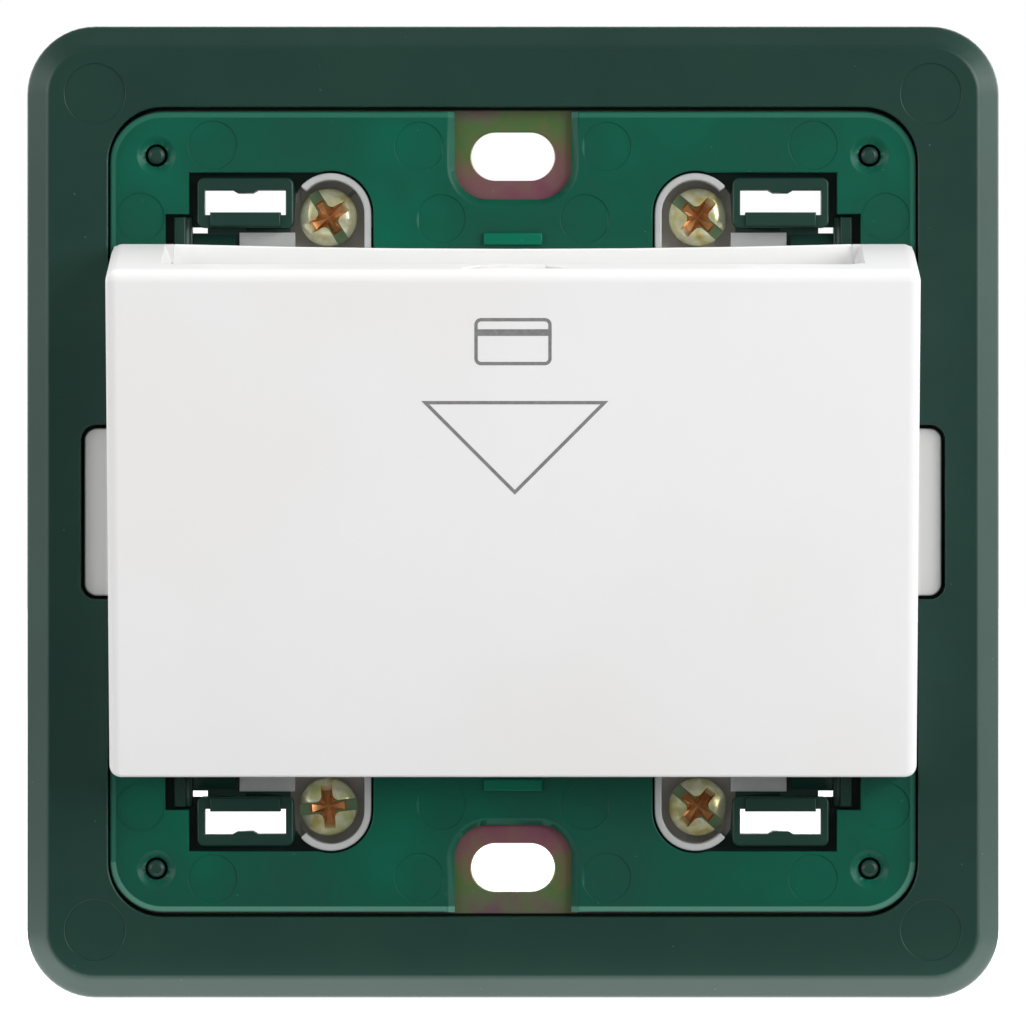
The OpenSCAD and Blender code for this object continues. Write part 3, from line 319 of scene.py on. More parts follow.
def yellowChromate(s):
    material, tree, shader, place = startMaterial("yellow_chromate_zinc")
    film = addNode(tree, "ShaderNodeTexNoise", {
        "Vector": place, "Scale": perMetre(s["filmMm"]), "Detail": 3.0, "Distortion": 0.5})
    land = addNode(tree, "ShaderNodeValToRGB", {"Fac": film.outputs["Fac"]})
    setStops(land.color_ramp, s["stops"])
    copper = addNode(tree, "ShaderNodeValToRGB", {"Fac": film.outputs["Fac"]})
    setStops(copper.color_ramp, s["copper"])
    # "recess" is 0 on the lands, 0.5 in the slot and 1 in the cross
    recess = addNode(tree, "ShaderNodeAttribute", attribute_name="recess").outputs["Fac"]
    inSlot = addNode(tree, "ShaderNodeMapRange", {"Value": recess, "From Min": 0.0, "From Max": 0.5})
    inCross = addNode(tree, "ShaderNodeMapRange", {"Value": recess, "From Min": 0.5, "From Max": 1.0})
    slotted = addNode(tree, "ShaderNodeMix", {
        "Factor": inSlot.outputs["Result"], 6: land.outputs["Color"], 7: hexColour(s["slot"])},
        data_type="RGBA")
    colour = addNode(tree, "ShaderNodeMix", {
        "Factor": inCross.outputs["Result"], 6: slotted.outputs[2], 7: copper.outputs["Color"]},
        data_type="RGBA")
    finishSkin(tree, shader, place, s, colour.outputs[2])
    return material


# Bare metals: bright zinc and silver with an even grain, rolled brass and bronze with streaks along the strip
metalSettings = {
    "bright_zinc_steel": {"dark": "#8f9499", "light": "#a9adb1", "roughness": 0.34, "grain": (0.6, 0.6)},
    "rolled_brass": {"dark": "#b08a45", "light": "#c9a55c", "roughness": 0.3, "grain": (0.25, 6)},
    "rolled_bronze": {"dark": "#a06a3c", "light": "#b98252", "roughness": 0.32, "grain": (0.25, 6)},
    "silver_alloy": {"dark": "#c4c7cc", "light": "#d8dadd", "roughness": 0.22, "grain": (0.5, 0.5)},
}
metalSkin = {"bump": 0.12, "reliefMm": 0.01, "metallic": 1.0}


def rolledMetal(name, s):
    material, tree, shader, place = startMaterial(name)
    across, along = (perMetre(sizeMm) for sizeMm in s["grain"])
    stretch = addNode(tree, "ShaderNodeMapping", {"Vector": place, "Scale": (across, across, along)})
    grain = addNode(tree, "ShaderNodeTexNoise", {
        "Vector": stretch.outputs["Vector"], "Scale": 1.0, "Detail": 3.0})
    tint = addNode(tree, "ShaderNodeValToRGB", {"Fac": grain.outputs["Fac"]})
    setStops(tint.color_ramp, [(0.3, s["dark"]), (0.7, s["light"])])
    finishSkin(tree, shader, place, {**metalSkin, **s}, tint.outputs["Color"], grain)
    return material


# Pad-printed ink: matt mid grey, slightly uneven in cover
inkSettings = {"dark": "#7a7a7a", "light": "#868686", "blotMm": 0.35, "roughness": 0.55}


def greyInk(s):
    material, tree, shader, place = startMaterial("grey_pad_print_ink")
    blot = addNode(tree, "ShaderNodeTexNoise", {
        "Vector": place, "Scale": perMetre(s["blotMm"]), "Detail": 2.0})
    tint = addNode(tree, "ShaderNodeValToRGB", {"Fac": blot.outputs["Fac"]})
    setStops(tint.color_ramp, [(0.35, s["dark"]), (0.65, s["light"])])
    tree.links.new(tint.outputs["Color"], shader.inputs["Base Color"])
    shader.inputs["Roughness"].default_value = s["roughness"]
    return material


darkGreen = darkGreenPolycarbonate(frameSettings)
coverGreen = greenTranslucentPolycarbonate(coverSettings)
bridgeSteel = chromatedSteel(bridgeSettings)
pocketWhite = whiteAbs(pocketSettings)
housingGrey = greyPolyamide(housingSettings)
screwYellow = yellowChromate(screwSettings)
printGrey = greyInk(inkSettings)
metals = {name: rolledMetal(name, s) for name, s in metalSettings.items()}
print("materials made")

# Finish of each CAD node, which a copy of its mesh keeps
nodeFinish = {
    "mounting_frame": darkGreen, "steel_bridge": bridgeSteel, "insulating_cover": coverGreen,
    "pocket_front": pocketWhite, "pocket_base": pocketWhite, "mechanism_housing": housingGrey,
    "rear_cover": housingGrey, "card_lever": housingGrey,
}
for node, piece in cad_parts.items():
    if node.startswith("terminal_screw"):
        finish = screwYellow
    elif node.endswith(("strip_left", "strip_right")):
        finish = metals["rolled_brass"]
    elif node.startswith("contact_arm"):
        finish = metals["rolled_bronze"]
    elif "contact_tip" in node:
        finish = metals["silver_alloy"]
    else:
        finish = nodeFinish.get(node, metals["bright_zinc_steel"])
    piece.material_slots[0].material = finish


def editMode(on):
    bpy.ops.object.mode_set(mode="EDIT" if on else "OBJECT")


def selectAll():
    bpy.ops.mesh.select_all(action="SELECT")


def selectOnly(piece):
    bpy.ops.object.select_all(action="DESELECT")
    piece.select_set(True)
    bpy.context.view_layer.objects.active = piece


def applyPlace():
    bpy.ops.object.transform_apply(location=True, rotation=True, scale=True)


copySettings = {"mergeMm": 0.002, "cutMm": 0.001, "flatDegrees": 0.4}


def openCopy(node, name, cuts=()):
    # a copy of a CAD node's mesh, merged, with its flat faces whole again; a face with holes in it
    # is split by cuts through them, given in mm as (axis, place)
    s = copySettings
    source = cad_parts[node]
    piece = bpy.data.objects.new(name, source.data.copy())
    scene.collection.objects.link(piece)
    selectOnly(piece)
    editMode(True)
    selectAll()
    bpy.ops.mesh.remove_doubles(threshold=s["mergeMm"] * mm)
    for axis, place in cuts:
        across = Vector([float(axis == letter) for letter in "xyz"])
        selectAll()
        bpy.ops.mesh.bisect(plane_co=across * place * mm, plane_no=across, threshold=s["cutMm"] * mm)
        bpy.ops.mesh.mark_seam(clear=False)
    selectAll()
    bpy.ops.mesh.dissolve_limited(angle_limit=math.radians(s["flatDegrees"]), delimit={"SEAM"})
    editMode(False)
    return piece


def selectFaces(piece, wanted):
    # selects the faces of the mesh in edit mode that the test wants, given their middle in mm and normal
    bpy.ops.mesh.select_mode(type="FACE")
    bpy.ops.mesh.select_all(action="DESELECT")
    work = bmesh.from_edit_mesh(piece.data)
    for face in work.faces:
        if wanted(face.calc_center_median() / mm, face.normal):
            face.select_set(True)
    bmesh.update_edit_mesh(piece.data)


def cutAway(piece, cutter):
    selectOnly(piece)
    cut = piece.modifiers.new("cut", "BOOLEAN")
    cut.operation = "DIFFERENCE"
    cut.solver = "EXACT"
    cut.object = cutter
    bpy.ops.object.modifier_apply(modifier=cut.name)
    selectOnly(cutter)
    bpy.ops.object.delete()


def roundEdges(piece, radiusOf, segments=3, sharp=28, slide=False):
    # rounds the sharp outer edges; radiusOf takes an edge's two ends in mm and gives its radius, or 0
    selectOnly(piece)
    editMode(True)
    work = bmesh.from_edit_mesh(piece.data)
    weight = work.edges.layers.float.new("bevel_weight_edge")
    radii = {}
    for edge in work.edges:
        if len(edge.link_faces) == 2 and edge.is_convex and edge.calc_face_angle() > math.radians(sharp):
            a, b = (v.co / mm for v in edge.verts)
            radii[edge] = radiusOf(a, b)
    largest = max(radii.values())
    for edge, radius in radii.items():
        edge[weight] = radius / largest
    count = sum(radius > 0 for radius in radii.values())
    bmesh.update_edit_mesh(piece.data)
    editMode(False)
    rounding = piece.modifiers.new("rounding", "BEVEL")
    rounding.limit_method = "WEIGHT"
    rounding.width = largest * mm
    rounding.segments = segments
    rounding.use_clamp_overlap = slide
    rounding.loop_slide = slide
    bpy.ops.object.modifier_apply(modifier=rounding.name)
    print(piece.name, "rounded edges:", count)


def evenShading(piece, angle=32):
    selectOnly(piece)
    bpy.ops.object.shade_smooth_by_angle(angle=math.radians(angle))
    even = piece.modifiers.new("even_shading", "WEIGHTED_NORMAL")
    even.keep_sharp = True
    bpy.ops.object.modifier_apply(modifier=even.name)


def standFor(piece, node, body):
    evenShading(piece)
    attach(piece, body)
    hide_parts(node)


def bothAt(a, b, depth):
    # both ends of an edge lie this deep in front of the wall
    return abs(-a.y - depth) < near and abs(-b.y - depth) < near


# Depths in front of the wall, in mm, where the visible edges lie
depths = {"flange": 3.6, "chamfer": 1.8, "cover": 3.0, "rib": 3.35, "collar": 2.6, "tongue": 2.85, "bar": 2.4,
          "foot": 1.8, "pinTip": 2.95, "pinTaper": 2.7, "tab": 2.8, "rim": 2.8, "block": 1.0, "back": 0.0,
          "shellBack": 3.2, "lip": 14.0, "lowFront": 9.3, "topFront": 17.2, "rearBack": -20.0}

# Mounting frame: flange, clip collars and stake pins with moulded edges
frameRounds = {"outerMm": 0.25, "chamferMm": 0.3, "openingMm": 0.13, "markMm": 0.07, "collarMm": 0.2,
               "tightMm": 0.07, "tongueMm": 0.12, "barMm": 0.15, "pinMm": 0.08, "backMm": 0.2,
               "markAt": 35.2, "markR": 2.55, "flangeEdge": 38.0, "collarX": 22.575, "windowW": 6.83,
               "collarLow": 24.0, "cornerR": 0.6, "windowLow": 25.0, "windowTop": 27.5}


def frameRadius(a, b):
    s = frameRounds
    x, z = abs(a.x + b.x) / 2, abs(a.z + b.z) / 2
    reach = max(x, z)
    if bothAt(a, b, depths["flange"]):
        if math.hypot(x - s["markAt"], z - s["markAt"]) < s["markR"] + slack:
            return s["markMm"]
        return s["outerMm"] if reach > s["flangeEdge"] else s["openingMm"]
    if reach > s["flangeEdge"]:
        if bothAt(a, b, depths["chamfer"]):
            return s["chamferMm"]
        return s["backMm"] if bothAt(a, b, depths["back"]) else 0
    if bothAt(a, b, depths["collar"]):
        if abs(x - s["collarX"]) < s["windowW"] / 2 + slack and s["windowLow"] < z < s["windowTop"]:
            return s["tightMm"]
        rise = min(1, max(0, (z - s["collarLow"]) / s["cornerR"]))  # narrow below the tongue
        return s["tightMm"] + (s["collarMm"] - s["tightMm"]) * rise
    if bothAt(a, b, depths["tongue"]):
        return s["tongueMm"]
    if bothAt(a, b, depths["bar"]) or bothAt(a, b, depths["foot"]):
        return s["barMm"]
    if bothAt(a, b, depths["pinTip"]) or bothAt(a, b, depths["pinTaper"]):
        return s["pinMm"]
    return 0


frameHoles = (frameRounds["collarX"], frameRounds["markAt"])
frameCuts = [("x", 0)] + [("x", side * place) for place in frameHoles for side in (-1, 1)]
frameShell = openCopy("mounting_frame", "moulded_frame", frameCuts)
closing = {"floorBack": 0.2, "floorFront": 0.8, "side": 23.4, "end": 29.0, "waist": 24.0, "towerIn": 10.0,
           "closeMm": 0.16}


def inOpening(middle, normal):
    # walls of the opening round the mechanism, not those of the small windows
    s = closing
    x, z = abs(middle.x), abs(middle.z)
    upright = abs(normal.y) < 1 - facing and s["floorBack"] < -middle.y < s["floorFront"]
    return upright and x < s["side"] and z < s["end"] and (z < s["waist"] or x > s["towerIn"])


selectOnly(frameShell)
editMode(True)
selectFaces(frameShell, inOpening)
bpy.ops.transform.shrink_fatten(value=closing["closeMm"] * mm, use_even_offset=True)
editMode(False)
roundEdges(frameShell, frameRadius)
standFor(frameShell, "mounting_frame", "base")

# Insulating cover: a soft border along the outside, finer ones along the cut-outs and the ejector marks
coverRounds = {"outerMm": 0.18, "cutMm": 0.12, "tightMm": 0.04, "markMm": 0.06, "ribMm": 0.15,
               "dishMm": 0.1, "half": 33.96, "cornerAt": 29.5, "cornerR": 4.46, "stakeAt": 30.05,
               "dishR": 1.625, "marks": [(25.3, 30.9), (7.9, 30.8), (6.05, 24.7), (31.4, 24.85)],
               "markR": 2.05, "stepX": 29.3, "stepTop": 26.0, "endIn": 0.23}


def coverRadius(a, b):
    s = coverRounds
    x, z = abs(a.x + b.x) / 2, abs(a.z + b.z) / 2
    if bothAt(a, b, depths["rib"]):
        return s["ribMm"]
    if not bothAt(a, b, depths["cover"]):
        return 0
    if any(math.hypot(x - mx, z - mz) < s["markR"] + 2 * near for mx, mz in s["marks"]):
        return 0 if x > s["stepX"] else s["markMm"]
    if abs(x - s["stepX"]) < slack and z < s["stepTop"]:
        return s["tightMm"]  # this edge runs close beside a mark
    if math.hypot(x - s["stakeAt"], z - s["stakeAt"]) < s["dishR"] + slack:
        return s["dishMm"]
    cornerX = x - s["cornerAt"]
    cornerZ = (z - s["cornerAt"]) * s["cornerR"] / (s["cornerR"] - s["endIn"])
    onCorner = min(cornerX, cornerZ) > 0 and math.hypot(cornerX, cornerZ) > s["cornerR"] - slack
    if onCorner or max(x, z + s["endIn"]) > s["half"] - slack / 2:
        return s["outerMm"]
    return s["cutMm"]


def drawEndsIn(piece, s):
    # the plate's upper and lower edges stand a little further from the flange than its sides
    selectOnly(piece)
    editMode(True)
    work = bmesh.from_edit_mesh(piece.data)
    for vert in work.verts:
        cornerX, cornerZ = abs(vert.co.x) / mm - s["cornerAt"], abs(vert.co.z) / mm - s["cornerAt"]
        if cornerZ > 0 and math.hypot(max(cornerX, 0), cornerZ) > s["cornerR"] - near / 2:
            vert.co.z -= math.copysign(s["endIn"] * cornerZ / s["cornerR"] * mm, vert.co.z)
    bmesh.update_edit_mesh(piece.data)
    editMode(False)


holesAt = [x for x, z in coverRounds["marks"]] + [coverRounds["stakeAt"]]
coverCuts = [("x", 0), ("z", 0)] + [("x", side * place) for place in holesAt for side in (-1, 1)]
coverShell = openCopy("insulating_cover", "moulded_cover", coverCuts)
drawEndsIn(coverShell, coverRounds)
roundEdges(coverShell, coverRadius, segments=4)
standFor(coverShell, "insulating_cover", "base")

# Steel bridge: punched edges
bridgeRounds = {"punchMm": 0.1, "front": 2.0}
bridgePlate = openCopy("steel_bridge", "punched_bridge")
roundEdges(bridgePlate, lambda a, b: bridgeRounds["punchMm"] if bothAt(a, b, bridgeRounds["front"]) else 0)
standFor(bridgePlate, "steel_bridge", "base")

# Mechanism housing: rims round the terminal screws with rounded tops and ends
housingRounds = {"rimMm": 0.15, "rimEndMm": 0.15, "blockMm": 0.03, "rimX": 15.3606, "rimZ": 25.1508,
                 "rimMid": 3.02, "rimHalf": 0.45, "rimEnd": 42.0, "endWithin": 1.0, "endTop": 2.0,
                 "endHigh": 0.5, "cutTop": 3.2, "cutBottom": -0.3, "cutWide": 1.0, "cutLong": 1.2}


def housingRadius(a, b):
    s = housingRounds
    if bothAt(a, b, depths["rim"]):
        return s["rimMm"]
    if bothAt(a, b, depths["block"]):
        return s["blockMm"]
    x, z = abs(a.x + b.x) / 2 - s["rimX"], abs(a.z + b.z) / 2 - s["rimZ"]
    atEnd = abs(math.degrees(math.atan2(z, x)) - s["rimEnd"]) < s["endWithin"]
    onRim = abs(math.hypot(x, z) - s["rimMid"]) < s["rimHalf"]
    upright = abs(a.y - b.y) > s["endHigh"] and max(-a.y, -b.y) > s["endTop"]
    return s["rimEndMm"] if atEnd and onRim and upright else 0


def rimEndCutter(s, sideX, sideZ):
    # a block that ends one rim square to its curve
    turn = math.radians(s["rimEnd"])
    along = s["cutLong"] / 2
    x = s["rimX"] + s["rimMid"] * math.cos(turn) + along * math.sin(turn)
    z = s["rimZ"] + s["rimMid"] * math.sin(turn) - along * math.cos(turn)
    y = -(s["cutBottom"] + s["cutTop"]) / 2
    bpy.ops.object.select_all(action="DESELECT")
    bpy.ops.mesh.primitive_cube_add(
        size=1, location=(sideX * x * mm, y * mm, sideZ * z * mm), rotation=(0, -sideX * sideZ * turn, 0),
        scale=(s["cutWide"] * mm, (s["cutTop"] - s["cutBottom"]) * mm, s["cutLong"] * mm))
    applyPlace()
    return bpy.context.object


housingShell = openCopy("mechanism_housing", "moulded_housing")
for sideX, sideZ in [(-1, -1), (-1, 1), (1, -1), (1, 1)]:
    cutAway(housingShell, rimEndCutter(housingRounds, sideX, sideZ))
roundEdges(housingShell, housingRadius)
standFor(housingShell, "mechanism_housing", "base")

# Rear cover: rounded back edge
rearRounds = {"backMm": 0.25, "boreMm": 0.1, "boreIn": 3.0}


def rearRadius(a, b):
    s = rearRounds
    if not bothAt(a, b, depths["rearBack"]):
        return 0
    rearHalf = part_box("rear_cover")[1].x / mm
    atBore = abs(a.z + b.z) / 2 < s["boreIn"] and abs(a.x + b.x) / 2 < rearHalf - slack
    return s["boreMm"] if atBore else s["backMm"]


rearShell = openCopy("rear_cover", "moulded_rear_cover", [("z", 0)])
roundEdges(rearShell, rearRadius)
standFor(rearShell, "rear_cover", "base")

# Pocket's back plate: soft edges on the side tabs and along the mouth
plateRounds = {"tabMm": 0.18, "mouthMm": 0.15, "mouthLow": 21.5}


def plateRadius(a, b):
    if bothAt(a, b, depths["tab"]):
        return plateRounds["tabMm"]
    return plateRounds["mouthMm"] if min(a.z, b.z) > plateRounds["mouthLow"] else 0


pocketPlate = openCopy("pocket_base", "pocket_back_plate")
roundEdges(pocketPlate, plateRadius)
standFor(pocketPlate, "pocket_base", "base")

# Card pocket: the white shell, with the soft edges of a moulding
shellRounds = {"sideMm": 1.0, "lowMm": 0.2, "lipFrontMm": 1.0, "lipBackMm": 0.25, "backMm": 0.15,
               "frontTop": 19.9, "low": -22.15, "raise": 0.35, "lipEnd": 28.0, "plugX": 28.51,
               "plugFront": 5.7, "plugDeep": 0.5, "leadIn": (0.8, 0.95), "leadUp": 0.3, "notchHalf": 4.6,
               "notchFront": 16.69, "notchBack": 0.75, "roofSlope": 0.2203}
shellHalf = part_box("pocket_front")[1].x / mm


def shellRadius(a, b):
    s = shellRounds
    if bothAt(a, b, depths["shellBack"]):
        return s["backMm"] if max(abs(a.x), abs(b.x)) > shellHalf - near else 0
    if min(abs(a.x), abs(b.x)) > shellHalf - near:
        return s["sideMm"]
    if bothAt(a, b, depths["lowFront"]) and max(a.z, b.z) < s["low"] + near:
        return s["lowMm"]
    if bothAt(a, b, depths["topFront"]):
        return s["lipFrontMm"]
    onLip = bothAt(a, b, depths["lip"]) and min(a.z, b.z) > s["frontTop"]
    return s["lipBackMm"] if onLip and abs(a.x + b.x) / 2 < s["lipEnd"] else 0


def shapeShell(piece, s):
    selectOnly(piece)
    editMode(True)
    # plug each end of the mouth behind its sloping lead-in
    least, most = s["leadIn"]
    for side in (-1, 1):
        selectFaces(piece, lambda middle, normal: least < -side * normal.x < most and normal.z > s["leadUp"]
                    and -middle.y < s["plugFront"] and side * middle.x > s["plugX"])
        bpy.ops.mesh.extrude_region_move()
        work = bmesh.from_edit_mesh(piece.data)
        pulled = [vert for vert in work.verts if vert.select]
        lowest = min(vert.co.z for vert in pulled)
        for vert in pulled:
            vert.co.x = side * s["plugX"] * mm
            if vert.co.z < lowest + near * mm:
                vert.co.z -= s["plugDeep"] * mm
        bmesh.update_edit_mesh(piece.data)
    work = bmesh.from_edit_mesh(piece.data)
    for vert in work.verts:
        if vert.co.z / mm < s["low"] - s["raise"] + near / 2:
            vert.co.z += s["raise"] * mm
        # the notch in the lip keeps clear of the rounding along it
        if abs(vert.co.x) < s["notchHalf"] * mm and abs(vert.co.y / mm + s["notchFront"]) < 3 * near:
            vert.co.y += s["notchBack"] * mm
            vert.co.z += s["notchBack"] * s["roofSlope"] * mm
    bmesh.update_edit_mesh(piece.data)
    editMode(False)


shellCuts = [("x", place * shellRounds["lipEnd"]) for place in (0, -1, 1)]
shellCuts.append(("y", -shellRounds["plugFront"]))
pocketShell = openCopy("pocket_front", "card_pocket_shell", shellCuts)
shapeShell(pocketShell, shellRounds)
roundEdges(pocketShell, shellRadius, segments=8)
standFor(pocketShell, "pocket_front", "base")
print("mouldings rounded")

# Lever spring: a copy of the CAD spring's mesh with even shading, shown in place of the CAD node
coilSpring = openCopy("lever_spring", "coil_spring")
evenShading(coilSpring)
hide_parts("lever_spring")
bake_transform(coilSpring)

# Terminal screw: crowned head with a slot across it and a cross recess, and ring grooves for its thread
screwShape = {"headR": 2.45, "seat": -0.38, "shoulder": 0.75, "slotW": 1.0, "slotFloor": 0.6, "crossL": 5.0,
              "crossW": 1.2, "crossFloor": 0.35, "crossTaper": 0.55, "crossRound": 0.6, "centreFloor": -0.1,
              "pointTaper": 0.25, "cutTop": 2.2, "slotCut": 2.0, "edgeMm": 0.05, "threadR": 1.75,
              "rootR": 1.45, "pitch": 0.6, "tip": -5.7, "tipTaper": 0.9, "facets": 72,
              "crown": [(2.4, 0.84), (2.25, 0.98), (1.95, 1.15), (1.5, 1.33), (0.8, 1.5)]}
screwTurns = {"top_left": -58, "top_right": -40, "bottom_left": 6, "bottom_right": -40}


def scaleSelected(factor):
    bpy.ops.transform.resize(value=(factor, 1, factor), center_override=(0, 0, 0))


def moveForward(distanceMm):
    bpy.ops.transform.translate(value=(0, -distanceMm * mm, 0))


def turnedHead(s):
    length = (s["shoulder"] - s["seat"]) * mm
    bpy.ops.object.select_all(action="DESELECT")
    bpy.ops.mesh.primitive_cylinder_add(vertices=s["facets"], radius=s["headR"] * mm, depth=length,
                                        end_fill_type="NGON", rotation=(math.radians(90), 0, 0),
                                        location=(0, -(s["shoulder"] + s["seat"]) / 2 * mm, 0))
    head = bpy.context.object
    applyPlace()
    editMode(True)
    selectFaces(head, lambda middle, normal: normal.y < -facing)
    radius, level = s["headR"], s["shoulder"]
    for nextRadius, nextLevel in s["crown"]:
        bpy.ops.mesh.extrude_region_move()
        scaleSelected(nextRadius / radius)
        moveForward(nextLevel - level)
        radius, level = nextRadius, nextLevel
    selectFaces(head, lambda middle, normal: normal.y > facing)
    bpy.ops.mesh.inset(thickness=(s["headR"] - s["threadR"]) * mm)
    radius, level = s["threadR"], s["seat"]
    while level > s["tip"] + s["pitch"]:
        nextRadius = s["rootR"] if radius == s["threadR"] else s["threadR"]
        bpy.ops.mesh.extrude_region_move()
        scaleSelected(nextRadius / radius)
        moveForward(-s["pitch"] / 2)
        radius, level = nextRadius, level - s["pitch"] / 2
    bpy.ops.mesh.extrude_region_move()
    scaleSelected(s["rootR"] / s["threadR"] * s["tipTaper"])
    moveForward(s["tip"] - level)
    editMode(False)
    return head


def slotCutter(s):
    # a bar as wide as the slot, longer than the head is wide
    bpy.ops.object.select_all(action="DESELECT")
    bpy.ops.mesh.primitive_cube_add(size=1, location=(0, -(s["slotFloor"] + s["slotCut"] / 2) * mm, 0),
                                    scale=(3 * s["headR"] * mm, s["slotCut"] * mm, s["slotW"] * mm))
    applyPlace()
    return bpy.context.object


def crossCutter(s):
    # a plus with rounded inner corners that narrows towards its floor and ends in a point
    wing = (s["crossL"] - s["crossW"]) / 2 * mm
    height = s["cutTop"] - s["crossFloor"]
    bpy.ops.object.select_all(action="DESELECT")
    bpy.ops.mesh.primitive_cube_add(size=1, location=(0, -(s["crossFloor"] + s["cutTop"]) / 2 * mm, 0),
                                    scale=(s["crossW"] * mm, height * mm, s["crossW"] * mm))
    cutter = bpy.context.object
    applyPlace()
    editMode(True)
    for direction in [Vector((1, 0, 0)), Vector((-1, 0, 0)), Vector((0, 0, 1)), Vector((0, 0, -1))]:
        selectFaces(cutter, lambda middle, normal: normal.dot(direction) > facing
                    and abs(middle.cross(direction).y) < near / 2 and middle.dot(direction) < s["crossW"])
        bpy.ops.mesh.extrude_region_move(TRANSFORM_OT_translate={"value": direction * wing})
    bpy.ops.mesh.select_mode(type="EDGE")
    bpy.ops.mesh.select_all(action="DESELECT")
    work = bmesh.from_edit_mesh(cutter.data)
    inner = s["crossW"] / 2 + near
    for edge in work.edges:
        a, b = (v.co / mm for v in edge.verts)
        if abs(a.y - b.y) > height / 2 and all(max(abs(v.x), abs(v.z)) < inner for v in (a, b)):
            edge.select_set(True)
    bmesh.update_edit_mesh(cutter.data)
    bpy.ops.mesh.bevel(offset=s["crossRound"] * mm, segments=4, affect="EDGES", clamp_overlap=False)
    selectFaces(cutter, lambda middle, normal: normal.y > facing)
    scaleSelected(s["crossTaper"])
    bpy.ops.mesh.extrude_region_move()
    scaleSelected(s["pointTaper"])
    moveForward(s["centreFloor"] - s["crossFloor"])
    editMode(False)
    return cutter


screwModel = turnedHead(screwShape)
cutAway(screwModel, slotCutter(screwShape))
cutAway(screwModel, crossCutter(screwShape))
roundEdges(screwModel, lambda a, b: screwShape["edgeMm"] if min(-a.y, -b.y) > screwShape["shoulder"] else 0,
           segments=2, sharp=35, slide=True)


def recessOf(middle, normal, s):
    # tells the lands (0), the slot (0.5) and the cross recess (1) of the head apart
    depth, away = -middle.y, math.hypot(middle.x, middle.z)
    if depth < s["centreFloor"] - slack / 2 or away > s["headR"] - slack:
        return 0.0
    below = [level for radius, level in s["crown"] if radius >= away]
    if normal.y < -0.5 and depth > min(below) - near:
        return 0.0
    inSlot = abs(middle.z) < s["slotW"] / 2 + near and depth > s["slotFloor"] - near
    return 0.5 if inSlot and (abs(normal.z) > facing or normal.y < -facing) else 1.0


film = screwModel.data.attributes.new("recess", "FLOAT", "FACE")
for polygon in screwModel.data.polygons:
    film.data[polygon.index].value = recessOf(polygon.center / mm, polygon.normal, screwShape)
screwModel.data.materials.append(screwYellow)
for corner, turn in screwTurns.items():
    node = "terminal_screw_" + corner
    screw = bpy.data.objects.new("crowned_screw_" + corner, screwModel.data.copy())
    scene.collection.objects.link(screw)
    low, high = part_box(node)
    screw.location = ((low.x + high.x) / 2, 0, (low.z + high.z) / 2)
    screw.rotation_euler = (0, -math.radians(turn), 0)
    selectOnly(screw)
    applyPlace()
    standFor(screw, node, "screw_" + corner)
selectOnly(screwModel)
bpy.ops.object.delete()
print("terminal screws made")

# Print on the pocket: an arrow that points down the slot and a plain card sign above it
printShape = {"arrowX": 0.15, "arrowTop": 9.2, "arrowHalf": 7.76, "strokeMm": 0.28, "cardW": 6.4,
              "cardH": 3.9, "cardZ": 14.1, "cardRound": 0.55, "stripeZ": 14.85, "stripeH": 0.55,
              "filmMm": 0.012}
frontSlope = (depths["topFront"] - depths["lowFront"]) / (shellRounds["frontTop"] - shellRounds["low"])


def layOnFront(piece):
    # gives a flat print its thickness and lays it on the pocket's sloping front
    editMode(True)
    selectAll()
    bpy.ops.mesh.normals_make_consistent(inside=False)
    bpy.ops.mesh.extrude_region_move(TRANSFORM_OT_translate={"value": (0, -printShape["filmMm"] * mm, 0)})
    selectAll()
    bpy.ops.mesh.normals_make_consistent(inside=False)
    work = bmesh.from_edit_mesh(piece.data)
    for vert in work.verts:
        z = vert.co.z / mm
        vert.co.y -= (depths["lowFront"] + (z - shellRounds["low"]) * frontSlope) * mm
    bmesh.update_edit_mesh(piece.data)
    editMode(False)
    piece.data.materials.append(printGrey)
    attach(piece, "base")


def hollowOut(strokeMm):
    # leaves only a stroke along the outline of the selected flat face
    bpy.ops.mesh.inset(thickness=strokeMm * mm)
    bpy.ops.mesh.delete(type="FACE")


bpy.ops.object.select_all(action="DESELECT")
bpy.ops.mesh.primitive_circle_add(vertices=4, radius=printShape["arrowHalf"] * mm, fill_type="NGON",
                                  location=(printShape["arrowX"] * mm, 0, printShape["arrowTop"] * mm),
                                  rotation=(math.radians(90), 0, 0))
arrow = bpy.context.object
arrow.name = "printed_arrow"
applyPlace()
editMode(True)
selectAll()
bpy.ops.mesh.bisect(plane_co=(0, 0, printShape["arrowTop"] * mm), plane_no=(0, 0, 1), clear_outer=True)
selectAll()
hollowOut(printShape["strokeMm"])
editMode(False)
layOnFront(arrow)

bpy.ops.object.select_all(action="DESELECT")
bpy.ops.mesh.primitive_plane_add(size=1, rotation=(math.radians(90), 0, 0),
                                 location=(0, 0, printShape["cardZ"] * mm))
cardSign = bpy.context.object
cardSign.name = "printed_card_sign"
cardSign.scale = (printShape["cardW"] * mm, printShape["cardH"] * mm, 1)
applyPlace()
editMode(True)
selectAll()
bpy.ops.mesh.bevel(offset=printShape["cardRound"] * mm, segments=6, affect="VERTICES")
selectAll()
hollowOut(printShape["strokeMm"])
bpy.ops.mesh.select_all(action="DESELECT")
stripeW = printShape["cardW"] - 2 * printShape["strokeMm"]
bpy.ops.mesh.primitive_plane_add(size=mm, rotation=(math.radians(90), 0, 0),
                                 location=(0, 0, printShape["stripeZ"] * mm))
bpy.ops.transform.resize(value=(stripeW, 1, printShape["stripeH"]),
                         center_override=(0, 0, printShape["stripeZ"] * mm))
editMode(False)
layOnFront(cardSign)
print("print made")

